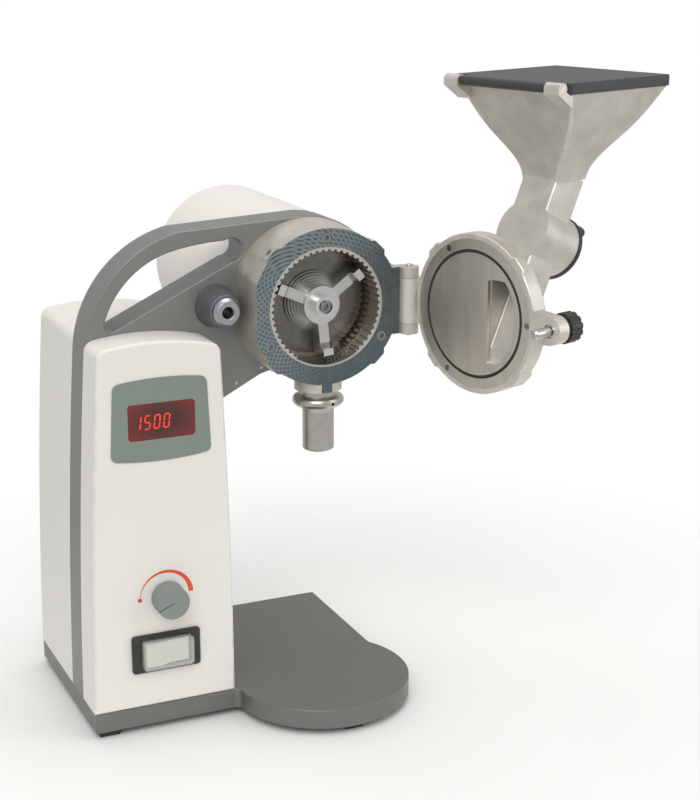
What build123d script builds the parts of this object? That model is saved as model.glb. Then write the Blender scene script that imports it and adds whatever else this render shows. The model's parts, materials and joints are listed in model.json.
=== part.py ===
"""Analytical lab mill: a motor-driven rotor mill on a stand, its hopper door swung open.

Millimetres, +Z up, front towards -Y. The origin is on the table, under the middle of the whole
object's box. Depths are measured forward from the stand plate's front face.
"""

import os
from math import acos, atan2, cos, radians, sin, tan

from build123d import *

os.makedirs("parts", exist_ok=True)

# ---- driving dimensions ----

# Where the mill stands: rotor axis and stand plate from the origin.
rotor_x = -17.3
plate_y = 0.5
rotor_z = 353.3

# Base and feet
foot_height = 6.0
base_thickness = 16.7
base_top = foot_height + base_thickness
base_left, base_right = -208.0, 63.0
base_front, base_back = -37.0, 139.0
platform_x, platform_y, platform_radius = -2.75, -34.0, 77.6
foot_top, foot_bottom = 22.0, 16.4
foot_places = ((-195.5, -24.8), (-2.4, -96.0), (50.5, 126.5), (-195.5, 126.5))
foot_peg_radius, foot_peg = 3.0, 8.0
stand_screw_places = (-188.0, -147.0, -106.0)
front_screw_places = ((-180.0, -20.0), (-108.0, -20.0))
rear_screw_places = ((-180.0, 122.0), (-108.0, 122.0))

# Stand plate and housings
plate_thickness = 33.5
head_radius = 69.5
front_depth = 37.0
rear_depth = 105.5
shell = 3.0
housing_rounding = 2.5
cable_window = (44.0, 62.0)
cable_window_at = (-150.0, 170.0)
bolt_circle = 58.0
motor_bolt_circle, motor_bolt_radius = 50.0, 3.0
plate_pin_places, plate_pin_radius = ((-64.5, 285.2), (-41.7, 296.3)), 1.5
boss_depth = 25.0
boss_bore = 8.0

# Grinding chamber
chamber_depth = 44.0
chamber_radius = 66.0
chamber_foot_radius = 68.5
chamber_floor = 7.0
pad_half, pad_cut = 52.5, 44.2
flat_x = -62.0
insert_radius = 50.5
insert_front = 43.4
tooth_tip_radius = 47.0
tooth_count = 54
sieve_half_angle = 34.0
sieve_thickness = 1.5
spigot_bore = 30.0
sieve_slot, sieve_slot_turn, sieve_slot_step = (12.0, 1.3), 20.0, 4.0
seal_radius, seal_bore = 13.0, 6.05

# Rotor and motor
rotor_radius = 45.0
rotor_back, rotor_disc_front, blade_front = 9.0, 13.0, 38.0
blade_width = 9.0
blade_angle = 36.0
hub_radius, hub_front = 16.0, 34.0
nose_radius, nose_front = 9.0, 42.0
shaft_radius = 6.0
motor_radius = 69.0
motor_wall = 3.0
motor_back = 205.0

# Outlet
outlet_depth = 24.5
outlet_bore = 10.5
collar_radius, collar_bottom = 20.1, 280.0
tube_radius, tube_bottom = 13.4, 226.8

# Hinge, door and clamp
hinge_reach = 75.3
door_open = 107.65
seal_gap = 0.1
knuckle_radius = 8.3
knuckle_half = 19.3
lug_inner, lug_outer = 19.6, 28.5
pin_radius = 3.0
fit = 0.05
door_radius = 66.0
door_thickness = 15.0
disc_radius, disc_thickness = 61.7, 4.0
oring_radius, oring_section = 51.75, 2.5
disc_screw_head, disc_screw_radius = 2.6, 1.6
slot_radius, slot_chord, slot_top, slot_bottom = 46.0, -15.4, 31.5, -39.0
clamp_reach = 81.4
lug_radius, lug_thickness = 11.5, 11.0
clamp_screw_radius = 4.0
clamp_tip = 18.0
clamp_shank = 22.0
clamp_ring_out, clamp_ring_thickness, clamp_groove_radius = 1.2, 0.8, 3.4

# Hopper, dosing valve and lid
feed_x = -31.7
lean = 26.4
duct_width, duct_depth, duct_wall = 37.2, 31.6, 3.0
duct_mid_z, duct_mid_b = 65.0, 35.15
valve_z = 64.0
valve_radius, valve_length = 25.6, 42.5
drum_radius = 21.5
kink = 108.0
lid_half, lid_thickness, lid_top = 60.0, 8.9, 190.5
rim_half = 58.6
lid_middle = 63.7
lid_hinge_b, lid_hinge_z = -4.8, 186.6
lid_lug = 15.0
lid_pin_radius = 2.0

# Controls
display_middle, window_size = (-143.1, 272.0), (57.0, 30.6)
knob_at, knob_radius = (-143.0, 119.0), 14.0
knob_back, knob_front = 38.0, 55.0
switch_at, switch_frame_size = (-145.6, 71.2), (59.6, 33.7)
switch_opening = (42.0, 23.4)
pointer_angle = 203.0
knob_bore_front = 51.0
potentiometer_back, potentiometer_neck = 20.0, 4.6
switch_body_size = (52.0, 27.0)
rocker_pivot = 35.0
inlet_at, inlet_cut = (-146.0, 62.0), (28.0, 20.0)
fuse_at, fuse_radius = (-146.0, 92.0), 7.0


# ---- planes ----

def front(depth=0.0, x=0.0, z=0.0):
    """A plane facing the viewer, so far before the stand plate: x right, y up."""
    return Plane(origin=(rotor_x + x, plate_y - depth, z), x_dir=(1, 0, 0), z_dir=(0, -1, 0))


def mill(depth=0.0):
    """The front plane centred on the rotor axis."""
    return front(depth, 0, rotor_z)


def level(height, x=0.0, depth=0.0):
    """A level plane: x right, y to the back."""
    return Plane(origin=(rotor_x + x, plate_y - depth, height))


def side(x=0.0, depth=0.0, z=rotor_z):
    """A plane facing right, centred on the rotor's height: x to the back, y up."""
    return Plane(origin=(rotor_x + x, plate_y - depth, z), x_dir=(0, 1, 0), z_dir=(1, 0, 0))


def door(out=0.0):
    """The door's plane, so far outside the seal: centred where the rotor axis meets it."""
    swing = radians(door_open)
    across = Vector(cos(swing), sin(swing), 0)
    outward = Vector(sin(swing), -cos(swing), 0)
    hinge = Vector(rotor_x + hinge_reach, plate_y - chamber_depth, rotor_z)
    return Plane(origin=hinge - across * hinge_reach + outward * out, x_dir=across, z_dir=outward)


def door_level(height, x=0.0, out=0.0):
    """A level plane in the door's frame, so high above the rotor axis: x across, y inward."""
    origin = door().from_local_coords(Vector(x, height, out))
    return Plane(origin=origin, x_dir=door().x_dir, z_dir=(0, 0, 1))


def duct(along=0.0):
    """A plane square to the feed duct: x across the door, y inward, z up the duct."""
    tilt = radians(lean)
    up = door().z_dir * sin(tilt) + Vector(0, 0, cos(tilt))
    middle_b = duct_mid_b + (valve_z - duct_mid_z) * tan(tilt)
    origin = door().from_local_coords(Vector(feed_x, valve_z, middle_b))
    return Plane(origin=origin + up * along, x_dir=door().x_dir, z_dir=up)


def valve(out=0.0):
    """A plane facing along the dosing valve's axis, so far outside the duct's inner face."""
    tilt = radians(lean)
    outward = door().z_dir * cos(tilt) - Vector(0, 0, sin(tilt))
    origin = duct().origin + outward * (out - duct_depth / 2)
    return Plane(origin=origin, x_dir=door().x_dir, z_dir=outward)


def lid_hinge(x):
    """A plane across the lid's hinge axis, so far right of the funnel's middle."""
    origin = door().from_local_coords(Vector(feed_x + x, lid_hinge_z, lid_hinge_b))
    return Plane(origin=origin, x_dir=-door().z_dir, z_dir=door().x_dir)


# ---- base ----

with BuildPart() as base_plate:
    with BuildSketch(level(foot_height)) as footprint:
        with Locations(((base_left + base_right) / 2, (base_front + base_back) / 2)):
            Rectangle(base_right - base_left, base_back - base_front)
        fillet(footprint.vertices(), radius=3)
        with Locations((platform_x, platform_y)):
            Circle(platform_radius)
        middle = Vector(platform_x, platform_y, 0)
        at_rim = footprint.vertices().filter_by(
            lambda v: abs((Vector(v) - middle).length - platform_radius) < 0.01)
        fillet(at_rim, radius=6)
    extrude(amount=base_thickness)
    chamfer(base_plate.faces().sort_by(Axis.Z)[-1].outer_wire().edges(), length=0.7)
    with Locations([level(foot_height, x, -y) for x, y in foot_places]):
        Hole(radius=foot_peg_radius, depth=foot_peg)
    with BuildSketch(level(foot_height)):
        with Locations(*[(x, plate_thickness / 2) for x in stand_screw_places]):
            Circle(7)
        with Locations(*front_screw_places, *rear_screw_places):
            Circle(4)
    extrude(amount=9, mode=Mode.SUBTRACT)
    with BuildSketch(level(foot_height)):
        with Locations(*[(x, plate_thickness / 2) for x in stand_screw_places]):
            Circle(4.2)
        with Locations(*front_screw_places, *rear_screw_places):
            Circle(2.2)
    extrude(amount=base_thickness, mode=Mode.SUBTRACT)
base_plate.part.label = "base_plate"
export_step(base_plate.part, "parts/base_plate.step")

with BuildPart() as rubber_feet:
    for x, y in foot_places:
        with BuildSketch(level(0, x, -y)):
            RectangleRounded(foot_bottom, foot_bottom, 1)
        with BuildSketch(level(foot_height, x, -y)):
            RectangleRounded(foot_top, foot_top, 1)
        loft()
        with BuildSketch(level(foot_height, x, -y)):
            Circle(foot_peg_radius)
        extrude(amount=foot_peg)
rubber_feet.part.label = "rubber_feet"
export_step(rubber_feet.part, "parts/rubber_feet.step")


# ---- stand plate: column, loop handle and round head in one plate ----

with BuildPart() as stand_plate:
    with BuildSketch(front()) as outline:
        with BuildLine():
            left = ThreePointArc((-208.4, base_top), (-204.3, 172), (-195.2, 322))
            shoulder = TangentArc(left @ 1, (-112, 417.4), tangent=left % 1)
            reach = Vector(-112, 417.4 - rotor_z)
            touch = atan2(reach.Y, reach.X) - acos(head_radius / reach.length)
            top = Line(shoulder @ 1, (head_radius * cos(touch), rotor_z + head_radius * sin(touch)))
            rim = ThreePointArc(top @ 1, (head_radius, rotor_z),
                                (head_radius * cos(radians(240.7)),
                                 rotor_z + head_radius * sin(radians(240.7))))
            throat = Polyline(rim @ 1, (-42.7, 290.3), (-89, 266.6), (-86, base_top))
            Line(throat @ 1, left @ 0)
        make_face()
    extrude(amount=-plate_thickness)
    with BuildSketch(front()) as handle_window:
        with BuildLine():
            sill = Line((-168, 340), (-66, 388.7))
            nose = ThreePointArc(sill @ 1, (-56.6, 400.5), (-71.8, 407.2))
            roof = ThreePointArc(nose @ 1, (-95, 405.6), (-119.5, 401.2))
            back = ThreePointArc(roof @ 1, (-153.9, 382.5), (-176.5, 347.5))
            ThreePointArc(back @ 1, (-175, 341.3), sill @ 0)
        make_face()
    extrude(amount=-plate_thickness, mode=Mode.SUBTRACT)
    chamfer(stand_plate.faces().filter_by(Axis.Y).sort_by(Axis.Y)[0].edges(), length=0.8)
    with BuildSketch(front()):
        with Locations(cable_window_at):
            RectangleRounded(*cable_window, 6)
        with Locations((0, rotor_z)):
            Circle(spigot_bore)
    extrude(amount=-plate_thickness, mode=Mode.SUBTRACT)
    with BuildSketch(front()):
        with Locations((-clamp_reach, rotor_z)):
            Circle(boss_bore)
        with Locations((0, rotor_z)):
            with PolarLocations(bolt_circle, 3, start_angle=90):
                Circle(2.5)
    extrude(amount=-16, mode=Mode.SUBTRACT)
    with BuildSketch(front(-plate_thickness)):
        with Locations((0, rotor_z)):
            with PolarLocations(motor_bolt_circle, 4, start_angle=45):
                Circle(motor_bolt_radius)
    extrude(amount=14, mode=Mode.SUBTRACT)
    with BuildSketch(level(base_top)):
        with Locations(*[(x, plate_thickness / 2) for x in stand_screw_places]):
            Circle(4)
    extrude(amount=26, mode=Mode.SUBTRACT)
    with BuildSketch(front()):
        with Locations(*plate_pin_places):
            Circle(plate_pin_radius)
    extrude(amount=-10, mode=Mode.SUBTRACT)
stand_plate.part.label = "stand_plate"
export_step(stand_plate.part, "parts/stand_plate.step")

with BuildPart() as stand_screws:
    for x in stand_screw_places:
        with BuildSketch(level(foot_height + 1, x, -plate_thickness / 2)):
            Circle(6.5)
            RegularPolygon(3.4, 6, mode=Mode.SUBTRACT)
        extrude(amount=5)
        with BuildSketch(level(foot_height + 6, x, -plate_thickness / 2)):
            Circle(6.5)
        extrude(amount=3)
        with BuildSketch(level(foot_height + 9, x, -plate_thickness / 2)):
            Circle(4)
        extrude(amount=base_thickness + 16)
stand_screws.part.label = "stand_screws"
export_step(stand_screws.part, "parts/stand_screws.step")

with BuildPart() as plate_pins:
    with BuildSketch(front(0.4)):
        with Locations(*plate_pin_places):
            Circle(plate_pin_radius)
    extrude(amount=-10.4)
plate_pins.part.label = "plate_pins"
export_step(plate_pins.part, "parts/plate_pins.step")

with BuildPart() as clamp_boss:
    with BuildSketch(front(0, -clamp_reach, rotor_z)):
        Circle(18.4)
    with BuildSketch(front(boss_depth, -clamp_reach, rotor_z)):
        Circle(13.5)
    loft()
    fillet(clamp_boss.edges().sort_by(Axis.Y)[0], radius=1.2)
    with BuildSketch(front(0, -clamp_reach, rotor_z)):
        Circle(boss_bore)
    extrude(amount=boss_depth, mode=Mode.SUBTRACT)
clamp_boss.part.label = "clamp_boss"
export_step(clamp_boss.part, "parts/clamp_boss.step")

with BuildPart() as clamp_insert:
    with BuildSketch(front(boss_depth, -clamp_reach, rotor_z)):
        Circle(12)
    extrude(amount=6)
    chamfer(clamp_insert.edges().sort_by(Axis.Y)[0], length=3.2, length2=2.4)
    with BuildSketch(front(boss_depth, -clamp_reach, rotor_z)):
        Circle(boss_bore)
    extrude(amount=-(boss_depth + 15))
    with BuildSketch(front(boss_depth + 6, -clamp_reach, rotor_z)):
        Circle(clamp_screw_radius + fit)
    extrude(amount=-28, mode=Mode.SUBTRACT)
    with BuildSketch(front(boss_depth + 6, -clamp_reach, rotor_z)):
        Circle(5.5)
    with BuildSketch(front(boss_depth + 3.5, -clamp_reach, rotor_z)):
        Circle(clamp_screw_radius + fit)
    loft(mode=Mode.SUBTRACT)
clamp_insert.part.label = "clamp_insert"
export_step(clamp_insert.part, "parts/clamp_insert.step")


# ---- front and rear housings: moulded shells either side of the plate ----

def housing_profile(inset=0.0):
    """The housings' front outline, drawn in by so much all round."""
    with BuildSketch() as profile:
        with BuildLine():
            left = ThreePointArc((-208.4 + inset, base_top + inset), (-204.1 + inset, 176),
                                 (-194.4 + inset, 333 - inset))
            crown = ThreePointArc(left @ 1, (-150, 337.6 - inset), (-91 - inset, 329.6 - inset))
            right = ThreePointArc(crown @ 1, (-85.4 - inset, 170), (-84.2 - inset, base_top + inset))
            Line(right @ 1, left @ 0)
        make_face()
        fillet(profile.vertices().sort_by(Axis.Y)[-2:], radius=9 - inset)
    return profile.sketch_local


with BuildPart() as front_housing:
    with BuildSketch(front()):
        add(housing_profile())
    extrude(amount=front_depth)
    fillet(front_housing.faces().sort_by(Axis.Y)[0].edges(), radius=housing_rounding)
    with BuildSketch(front()):
        add(housing_profile(shell))
    extrude(amount=front_depth - shell, mode=Mode.SUBTRACT)
    with BuildSketch(level(base_top + shell)):
        with Locations(*front_screw_places):
            Circle(4.5)
    extrude(amount=10)
    with BuildSketch(level(base_top)):
        with Locations(*front_screw_places):
            Circle(2)
    extrude(amount=11, mode=Mode.SUBTRACT)
    with BuildSketch(front(front_depth - shell)):
        with Locations(display_middle):
            RectangleRounded(*window_size, 3)
        with Locations(knob_at):
            Circle(potentiometer_neck)
        with Locations(switch_at):
            Rectangle(*switch_body_size)
    extrude(amount=shell, mode=Mode.SUBTRACT)
front_housing.part.label = "front_housing"
export_step(front_housing.part, "parts/front_housing.step")

with BuildPart() as rear_housing:
    with BuildSketch(front(-plate_thickness)):
        add(housing_profile())
    extrude(amount=-rear_depth)
    fillet(rear_housing.faces().sort_by(Axis.Y)[-1].edges(), radius=housing_rounding)
    with BuildSketch(front(-plate_thickness)):
        add(housing_profile(shell))
    extrude(amount=-(rear_depth - shell), mode=Mode.SUBTRACT)
    with BuildSketch(level(base_top + shell)):
        with Locations(*rear_screw_places):
            Circle(4.5)
    extrude(amount=10)
    with BuildSketch(level(base_top)):
        with Locations(*rear_screw_places):
            Circle(2)
    extrude(amount=11, mode=Mode.SUBTRACT)
    with BuildSketch(front(-plate_thickness - rear_depth)):
        with Locations(inlet_at):
            Rectangle(*inlet_cut)
        with Locations(fuse_at):
            Circle(fuse_radius)
        with Locations((-146, 235)):
            with GridLocations(0, 10, 1, 7):
                SlotOverall(60, 4)
    extrude(amount=shell, mode=Mode.SUBTRACT)
rear_housing.part.label = "rear_housing"
export_step(rear_housing.part, "parts/rear_housing.step")

with BuildPart() as housing_screws:
    for x, y in (*front_screw_places, *rear_screw_places):
        with BuildSketch(level(foot_height + 5, x, -y)):
            Circle(3.8)
            Rectangle(5, 1, mode=Mode.SUBTRACT)
            Rectangle(1, 5, mode=Mode.SUBTRACT)
        extrude(amount=2)
        with BuildSketch(level(foot_height + 7, x, -y)):
            Circle(3.8)
        extrude(amount=2)
        with BuildSketch(level(foot_height + 9, x, -y)):
            Circle(2)
        extrude(amount=base_thickness + 1)
housing_screws.part.label = "housing_screws"
export_step(housing_screws.part, "parts/housing_screws.step")


# ---- controls on the front housing ----

with BuildPart() as display_panel:
    with BuildSketch(front(front_depth)) as bezel:
        with BuildLine():
            crest = ThreePointArc((-183.3, 305), (-144, 308), (-104, 305))
            belly = ThreePointArc((-101.3, 241.4), (-144, 238.2), (-186.7, 241.4))
            Line(crest @ 1, belly @ 0)
            Line(belly @ 1, crest @ 0)
        make_face()
        fillet(bezel.vertices(), radius=5)
        with Locations(display_middle):
            RectangleRounded(*window_size, 3, mode=Mode.SUBTRACT)
    extrude(amount=0.8)
display_panel.part.label = "display_panel"
export_step(display_panel.part, "parts/display_panel.step")

with BuildPart() as display_window:
    with BuildSketch(front(front_depth - shell)):
        with Locations(display_middle):
            RectangleRounded(*window_size, 3)
    extrude(amount=shell + 0.6)
display_window.part.label = "display_window"
export_step(display_window.part, "parts/display_window.step")

with BuildPart() as display_board:
    with BuildSketch(front(22)):
        with Locations(display_middle):
            Rectangle(70, 44)
    extrude(amount=1.6)
    with BuildSketch(front(23.6)):
        with Locations(display_middle):
            Rectangle(50, 19)
    extrude(amount=8)
    with BuildSketch(front()):
        with Locations(display_middle):
            with GridLocations(62, 36, 2, 2):
                Circle(2.5)
    extrude(amount=22)
display_board.part.label = "display_board"
export_step(display_board.part, "parts/display_board.step")

with BuildPart() as control_board:
    with BuildSketch(front(8)):
        with Locations((-147, 180)):
            Rectangle(80, 84)
    extrude(amount=1.6)
    with BuildSketch(front(9.6)):
        with Locations((-168, 200), (-168, 178)):
            Circle(8)
        with Locations((-128, 200)):
            Rectangle(26, 30)
        with Locations((-130, 160)):
            Rectangle(34, 12)
    extrude(amount=16)
    with BuildSketch(front()):
        with Locations((-147, 180)):
            with GridLocations(68, 76, 2, 2):
                Circle(2.5)
    extrude(amount=8)
control_board.part.label = "control_board"
export_step(control_board.part, "parts/control_board.step")

with BuildPart() as potentiometer:
    with BuildSketch(front(potentiometer_back, *knob_at)):
        Circle(10)
    extrude(amount=front_depth - shell - potentiometer_back)
    with BuildSketch(front(front_depth - shell, *knob_at)):
        Circle(potentiometer_neck)
    extrude(amount=shell)
    with BuildSketch(front(potentiometer_back, *knob_at)):
        Circle(pin_radius + fit)
    extrude(amount=front_depth, mode=Mode.SUBTRACT)
potentiometer.part.label = "potentiometer"
export_step(potentiometer.part, "parts/potentiometer.step")

with BuildPart() as knob_shaft:
    with BuildSketch(front(potentiometer_back + 1, *knob_at)):
        Circle(pin_radius)
    extrude(amount=knob_bore_front - potentiometer_back - 1)
knob_shaft.part.label = "knob_shaft"
export_step(knob_shaft.part, "parts/knob_shaft.step")

with BuildPart() as speed_knob:
    with BuildSketch(front(knob_back, *knob_at)):
        Circle(knob_radius)
    extrude(amount=knob_front - knob_back)
    fillet(speed_knob.edges().sort_by(Axis.Y)[0], radius=0.6)
    with BuildSketch(front(knob_back, *knob_at)):
        Circle(pin_radius)
    extrude(amount=knob_bore_front - knob_back, mode=Mode.SUBTRACT)
    along = radians(pointer_angle)
    with BuildSketch(front(knob_front, *knob_at)):
        with Locations(Location((8 * cos(along), 8 * sin(along), 0), pointer_angle)):
            Rectangle(13, 1)
    extrude(amount=-0.5, mode=Mode.SUBTRACT)
    with BuildSketch(front(knob_back, *knob_at)):
        with Locations(Location((14 * cos(along), 14 * sin(along), 0), pointer_angle)):
            Rectangle(1, 1)
    extrude(amount=knob_front - knob_back, mode=Mode.SUBTRACT)
speed_knob.part.label = "speed_knob"
export_step(speed_knob.part, "parts/speed_knob.step")

with BuildPart() as switch_frame:
    with BuildSketch(front(front_depth)):
        with Locations(switch_at):
            RectangleRounded(*switch_frame_size, 3)
    extrude(amount=4)
    chamfer(switch_frame.faces().sort_by(Axis.Y)[0].edges(), length=1.6, length2=1.6)
    with BuildSketch(front(front_depth)):
        with Locations(switch_at):
            Rectangle(*switch_opening)
    extrude(amount=4, mode=Mode.SUBTRACT)
switch_frame.part.label = "switch_frame"
export_step(switch_frame.part, "parts/switch_frame.step")

with BuildPart() as switch_body:
    with BuildSketch(front(12)):
        with Locations(switch_at):
            Rectangle(*switch_body_size)
    extrude(amount=front_depth - 12)
    with BuildSketch(front(front_depth)):
        with Locations(switch_at):
            Rectangle(*switch_opening)
    extrude(amount=-8.5, mode=Mode.SUBTRACT)
    with BuildSketch(level(switch_at[1] - 12.9, switch_at[0], rocker_pivot)):
        Circle(1.5 + fit)
    extrude(amount=25.8, mode=Mode.SUBTRACT)
    with BuildSketch(front(2)):
        with Locations(switch_at):
            with GridLocations(16, 12, 3, 2):
                Rectangle(0.8, 6.3)
    extrude(amount=10)
switch_body.part.label = "switch_body"
export_step(switch_body.part, "parts/switch_body.step")

with BuildPart() as switch_rocker:
    with BuildSketch(level(switch_at[1] - 10, switch_at[0])) as wave:
        with BuildLine():
            Polyline((-19, -34.5), (-19, -45), (-6, -45), (3, -41.2), (19, -40.4), (19, -34.5),
                     close=True)
        make_face()
        fillet(wave.vertices().sort_by(Axis.Y)[0:2], radius=1)
    extrude(amount=20)
    with BuildSketch(level(switch_at[1] - 12.7, switch_at[0], rocker_pivot)):
        Circle(1.5)
    extrude(amount=25.4)
switch_rocker.part.label = "switch_rocker"
export_step(switch_rocker.part, "parts/switch_rocker.step")

with BuildPart() as switch_cover:
    with BuildSketch(front(front_depth + 4)):
        with Locations(switch_at):
            RectangleRounded(44.4, 25.6, 3.5)
    extrude(amount=6.2)
    fillet(switch_cover.faces().sort_by(Axis.Y)[0].edges(), radius=1.2)
    with BuildSketch(front(front_depth + 4)):
        with Locations(switch_at):
            RectangleRounded(switch_opening[0] + 0.6, switch_opening[1] + 0.4, 3)
    extrude(amount=5.3, mode=Mode.SUBTRACT)
switch_cover.part.label = "switch_cover"
export_step(switch_cover.part, "parts/switch_cover.step")


# ---- rear connections and power module ----

with BuildPart() as mains_inlet:
    back = plate_thickness + rear_depth
    with BuildSketch(front(-back)):
        with Locations(inlet_at):
            RectangleRounded(48, 24, 3)
    extrude(amount=-2.5)
    with BuildSketch(front(-back)):
        with Locations(inlet_at):
            Rectangle(*inlet_cut)
    extrude(amount=22)
    with BuildSketch(front(-back - 2.5)):
        with Locations(inlet_at):
            RectangleRounded(24.5, 16.5, 3)
    extrude(amount=19, mode=Mode.SUBTRACT)
    with BuildSketch(front(-back + 18)):
        with Locations(inlet_at):
            with Locations((-7, -2), (0, 3), (7, -2)):
                Rectangle(2, 4)
    extrude(amount=-16)
mains_inlet.part.label = "mains_inlet"
export_step(mains_inlet.part, "parts/mains_inlet.step")

with BuildPart() as fuse_holder:
    with BuildSketch(front(-back)):
        with Locations(fuse_at):
            Circle(9)
    extrude(amount=-4)
    with BuildSketch(front(-back)):
        with Locations(fuse_at):
            Circle(fuse_radius)
    extrude(amount=30)
    with BuildSketch(front(-back - 4)):
        with Locations(fuse_at):
            Rectangle(10, 1.6)
    extrude(amount=1.5, mode=Mode.SUBTRACT)
fuse_holder.part.label = "fuse_holder"
export_step(fuse_holder.part, "parts/fuse_holder.step")

with BuildPart() as power_module:
    with BuildSketch(front(-plate_thickness)):
        with Locations((-147, 85)):
            Rectangle(84, 70)
    extrude(amount=-4)
    with BuildSketch(front(-plate_thickness - 4)):
        with Locations((-147, 92)):
            Rectangle(60, 50)
    extrude(amount=-36)
    with BuildSketch(front(-plate_thickness - 4)):
        with Locations((-147, 58)):
            with GridLocations(9, 0, 8, 1):
                Rectangle(2.5, 14)
    extrude(amount=-26)
power_module.part.label = "power_module"
export_step(power_module.part, "parts/power_module.step")


# ---- motor: cover, end shields, field, armature, brushes ----

with BuildPart() as motor_housing:
    with BuildSketch(mill(-plate_thickness)):
        Circle(motor_radius)
    extrude(amount=-(motor_back - plate_thickness))
    fillet(motor_housing.edges().sort_by(Axis.Y)[-1], radius=12)
    with BuildSketch(mill(-plate_thickness)):
        Circle(motor_radius - motor_wall)
    extrude(amount=-(motor_back - plate_thickness - 14), mode=Mode.SUBTRACT)
    with BuildSketch(mill(-motor_back + 14)):
        Circle(motor_radius - 14)
    extrude(amount=-(14 - motor_wall), mode=Mode.SUBTRACT)
    with BuildSketch(mill(-motor_back)):
        with PolarLocations(34, 18):
            SlotOverall(22, 4)
    extrude(amount=motor_wall, mode=Mode.SUBTRACT)
    with BuildSketch(level(rotor_z - motor_radius - 1, 0, -plate_thickness - 26)):
        with GridLocations(9, 0, 7, 1):
            SlotOverall(26, 4, rotation=90)
    extrude(amount=30, mode=Mode.SUBTRACT)
motor_housing.part.label = "motor_housing"
export_step(motor_housing.part, "parts/motor_housing.step")

with BuildPart() as front_shield:
    with BuildSketch(mill(-plate_thickness)):
        Circle(motor_radius - motor_wall)
    extrude(amount=-8)
    with BuildSketch(mill(-plate_thickness - 8)):
        Circle(24)
    extrude(amount=-12)
    with BuildSketch(mill(-plate_thickness)):
        Circle(spigot_bore)
    extrude(amount=12)
    with BuildSketch(mill(-plate_thickness + 12)):
        Circle(10)
        with PolarLocations(motor_bolt_circle, 4, start_angle=45):
            Circle(3.3)
    extrude(amount=-40, mode=Mode.SUBTRACT)
    with BuildSketch(mill(-plate_thickness - 20)):
        Circle(16)
    extrude(amount=11, mode=Mode.SUBTRACT)
front_shield.part.label = "front_shield"
export_step(front_shield.part, "parts/front_shield.step")

with BuildPart() as motor_screws:
    with BuildSketch(mill(-plate_thickness - 8)):
        with PolarLocations(motor_bolt_circle, 4, start_angle=45):
            Circle(5)
    extrude(amount=-6)
    with BuildSketch(mill(-plate_thickness - 14)):
        with PolarLocations(motor_bolt_circle, 4, start_angle=45):
            RegularPolygon(2.9, 6)
    extrude(amount=3, mode=Mode.SUBTRACT)
    with BuildSketch(mill(-plate_thickness - 8)):
        with PolarLocations(motor_bolt_circle, 4, start_angle=45):
            Circle(motor_bolt_radius)
    extrude(amount=20)
motor_screws.part.label = "motor_screws"
export_step(motor_screws.part, "parts/motor_screws.step")

front_bearing_at = plate_thickness + 9
rear_bearing_at = 162.0

with BuildPart() as bearings:
    with BuildSketch(mill(-front_bearing_at)):
        Circle(16)
        Circle(shaft_radius + fit, mode=Mode.SUBTRACT)
    extrude(amount=-10)
    with BuildSketch(mill(-rear_bearing_at)):
        Circle(13)
        Circle(5 + fit, mode=Mode.SUBTRACT)
    extrude(amount=-8)
bearings.part.label = "bearings"
export_step(bearings.part, "parts/bearings.step")

stator_front, stator_back = 70.0, 126.0

with BuildPart() as stator_core:
    with BuildSketch(mill(-stator_front)):
        Circle(motor_radius - motor_wall)
        Circle(31, mode=Mode.SUBTRACT)
        with Locations((0, 46), (0, -46)):
            RectangleRounded(46, 16, 5, mode=Mode.SUBTRACT)
    extrude(amount=-(stator_back - stator_front))
stator_core.part.label = "stator_core"
export_step(stator_core.part, "parts/stator_core.step")

with BuildPart() as field_coils:
    with BuildSketch(mill(-stator_front + 8)):
        with Locations((0, 46), (0, -46)):
            RectangleRounded(46, 16, 5)
    extrude(amount=-(stator_back - stator_front + 16))
field_coils.part.label = "field_coils"
export_step(field_coils.part, "parts/field_coils.step")

with BuildPart() as armature:
    with BuildSketch(mill(-stator_front)):
        Circle(30.4)
        with PolarLocations(27, 14):
            Circle(3.2, mode=Mode.SUBTRACT)
        Circle(shaft_radius, mode=Mode.SUBTRACT)
    extrude(amount=-(stator_back - stator_front))
armature.part.label = "armature"
export_step(armature.part, "parts/armature.step")

with BuildPart() as commutator:
    with BuildSketch(mill(-stator_back - 12)):
        Circle(14)
        Circle(shaft_radius, mode=Mode.SUBTRACT)
    extrude(amount=-18)
    with BuildSketch(mill(-stator_back - 12)):
        with PolarLocations(14, 14):
            Rectangle(1.5, 0.6)
    extrude(amount=-18, mode=Mode.SUBTRACT)
commutator.part.label = "commutator"
export_step(commutator.part, "parts/commutator.step")

brush_depth = stator_back + 21

with BuildPart() as carbon_brushes:
    with BuildSketch(mill(-brush_depth - 4)):
        with Locations((25.3, 0), (-25.3, 0)):
            Rectangle(22, 6)
    extrude(amount=8)
carbon_brushes.part.label = "carbon_brushes"
export_step(carbon_brushes.part, "parts/carbon_brushes.step")

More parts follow.
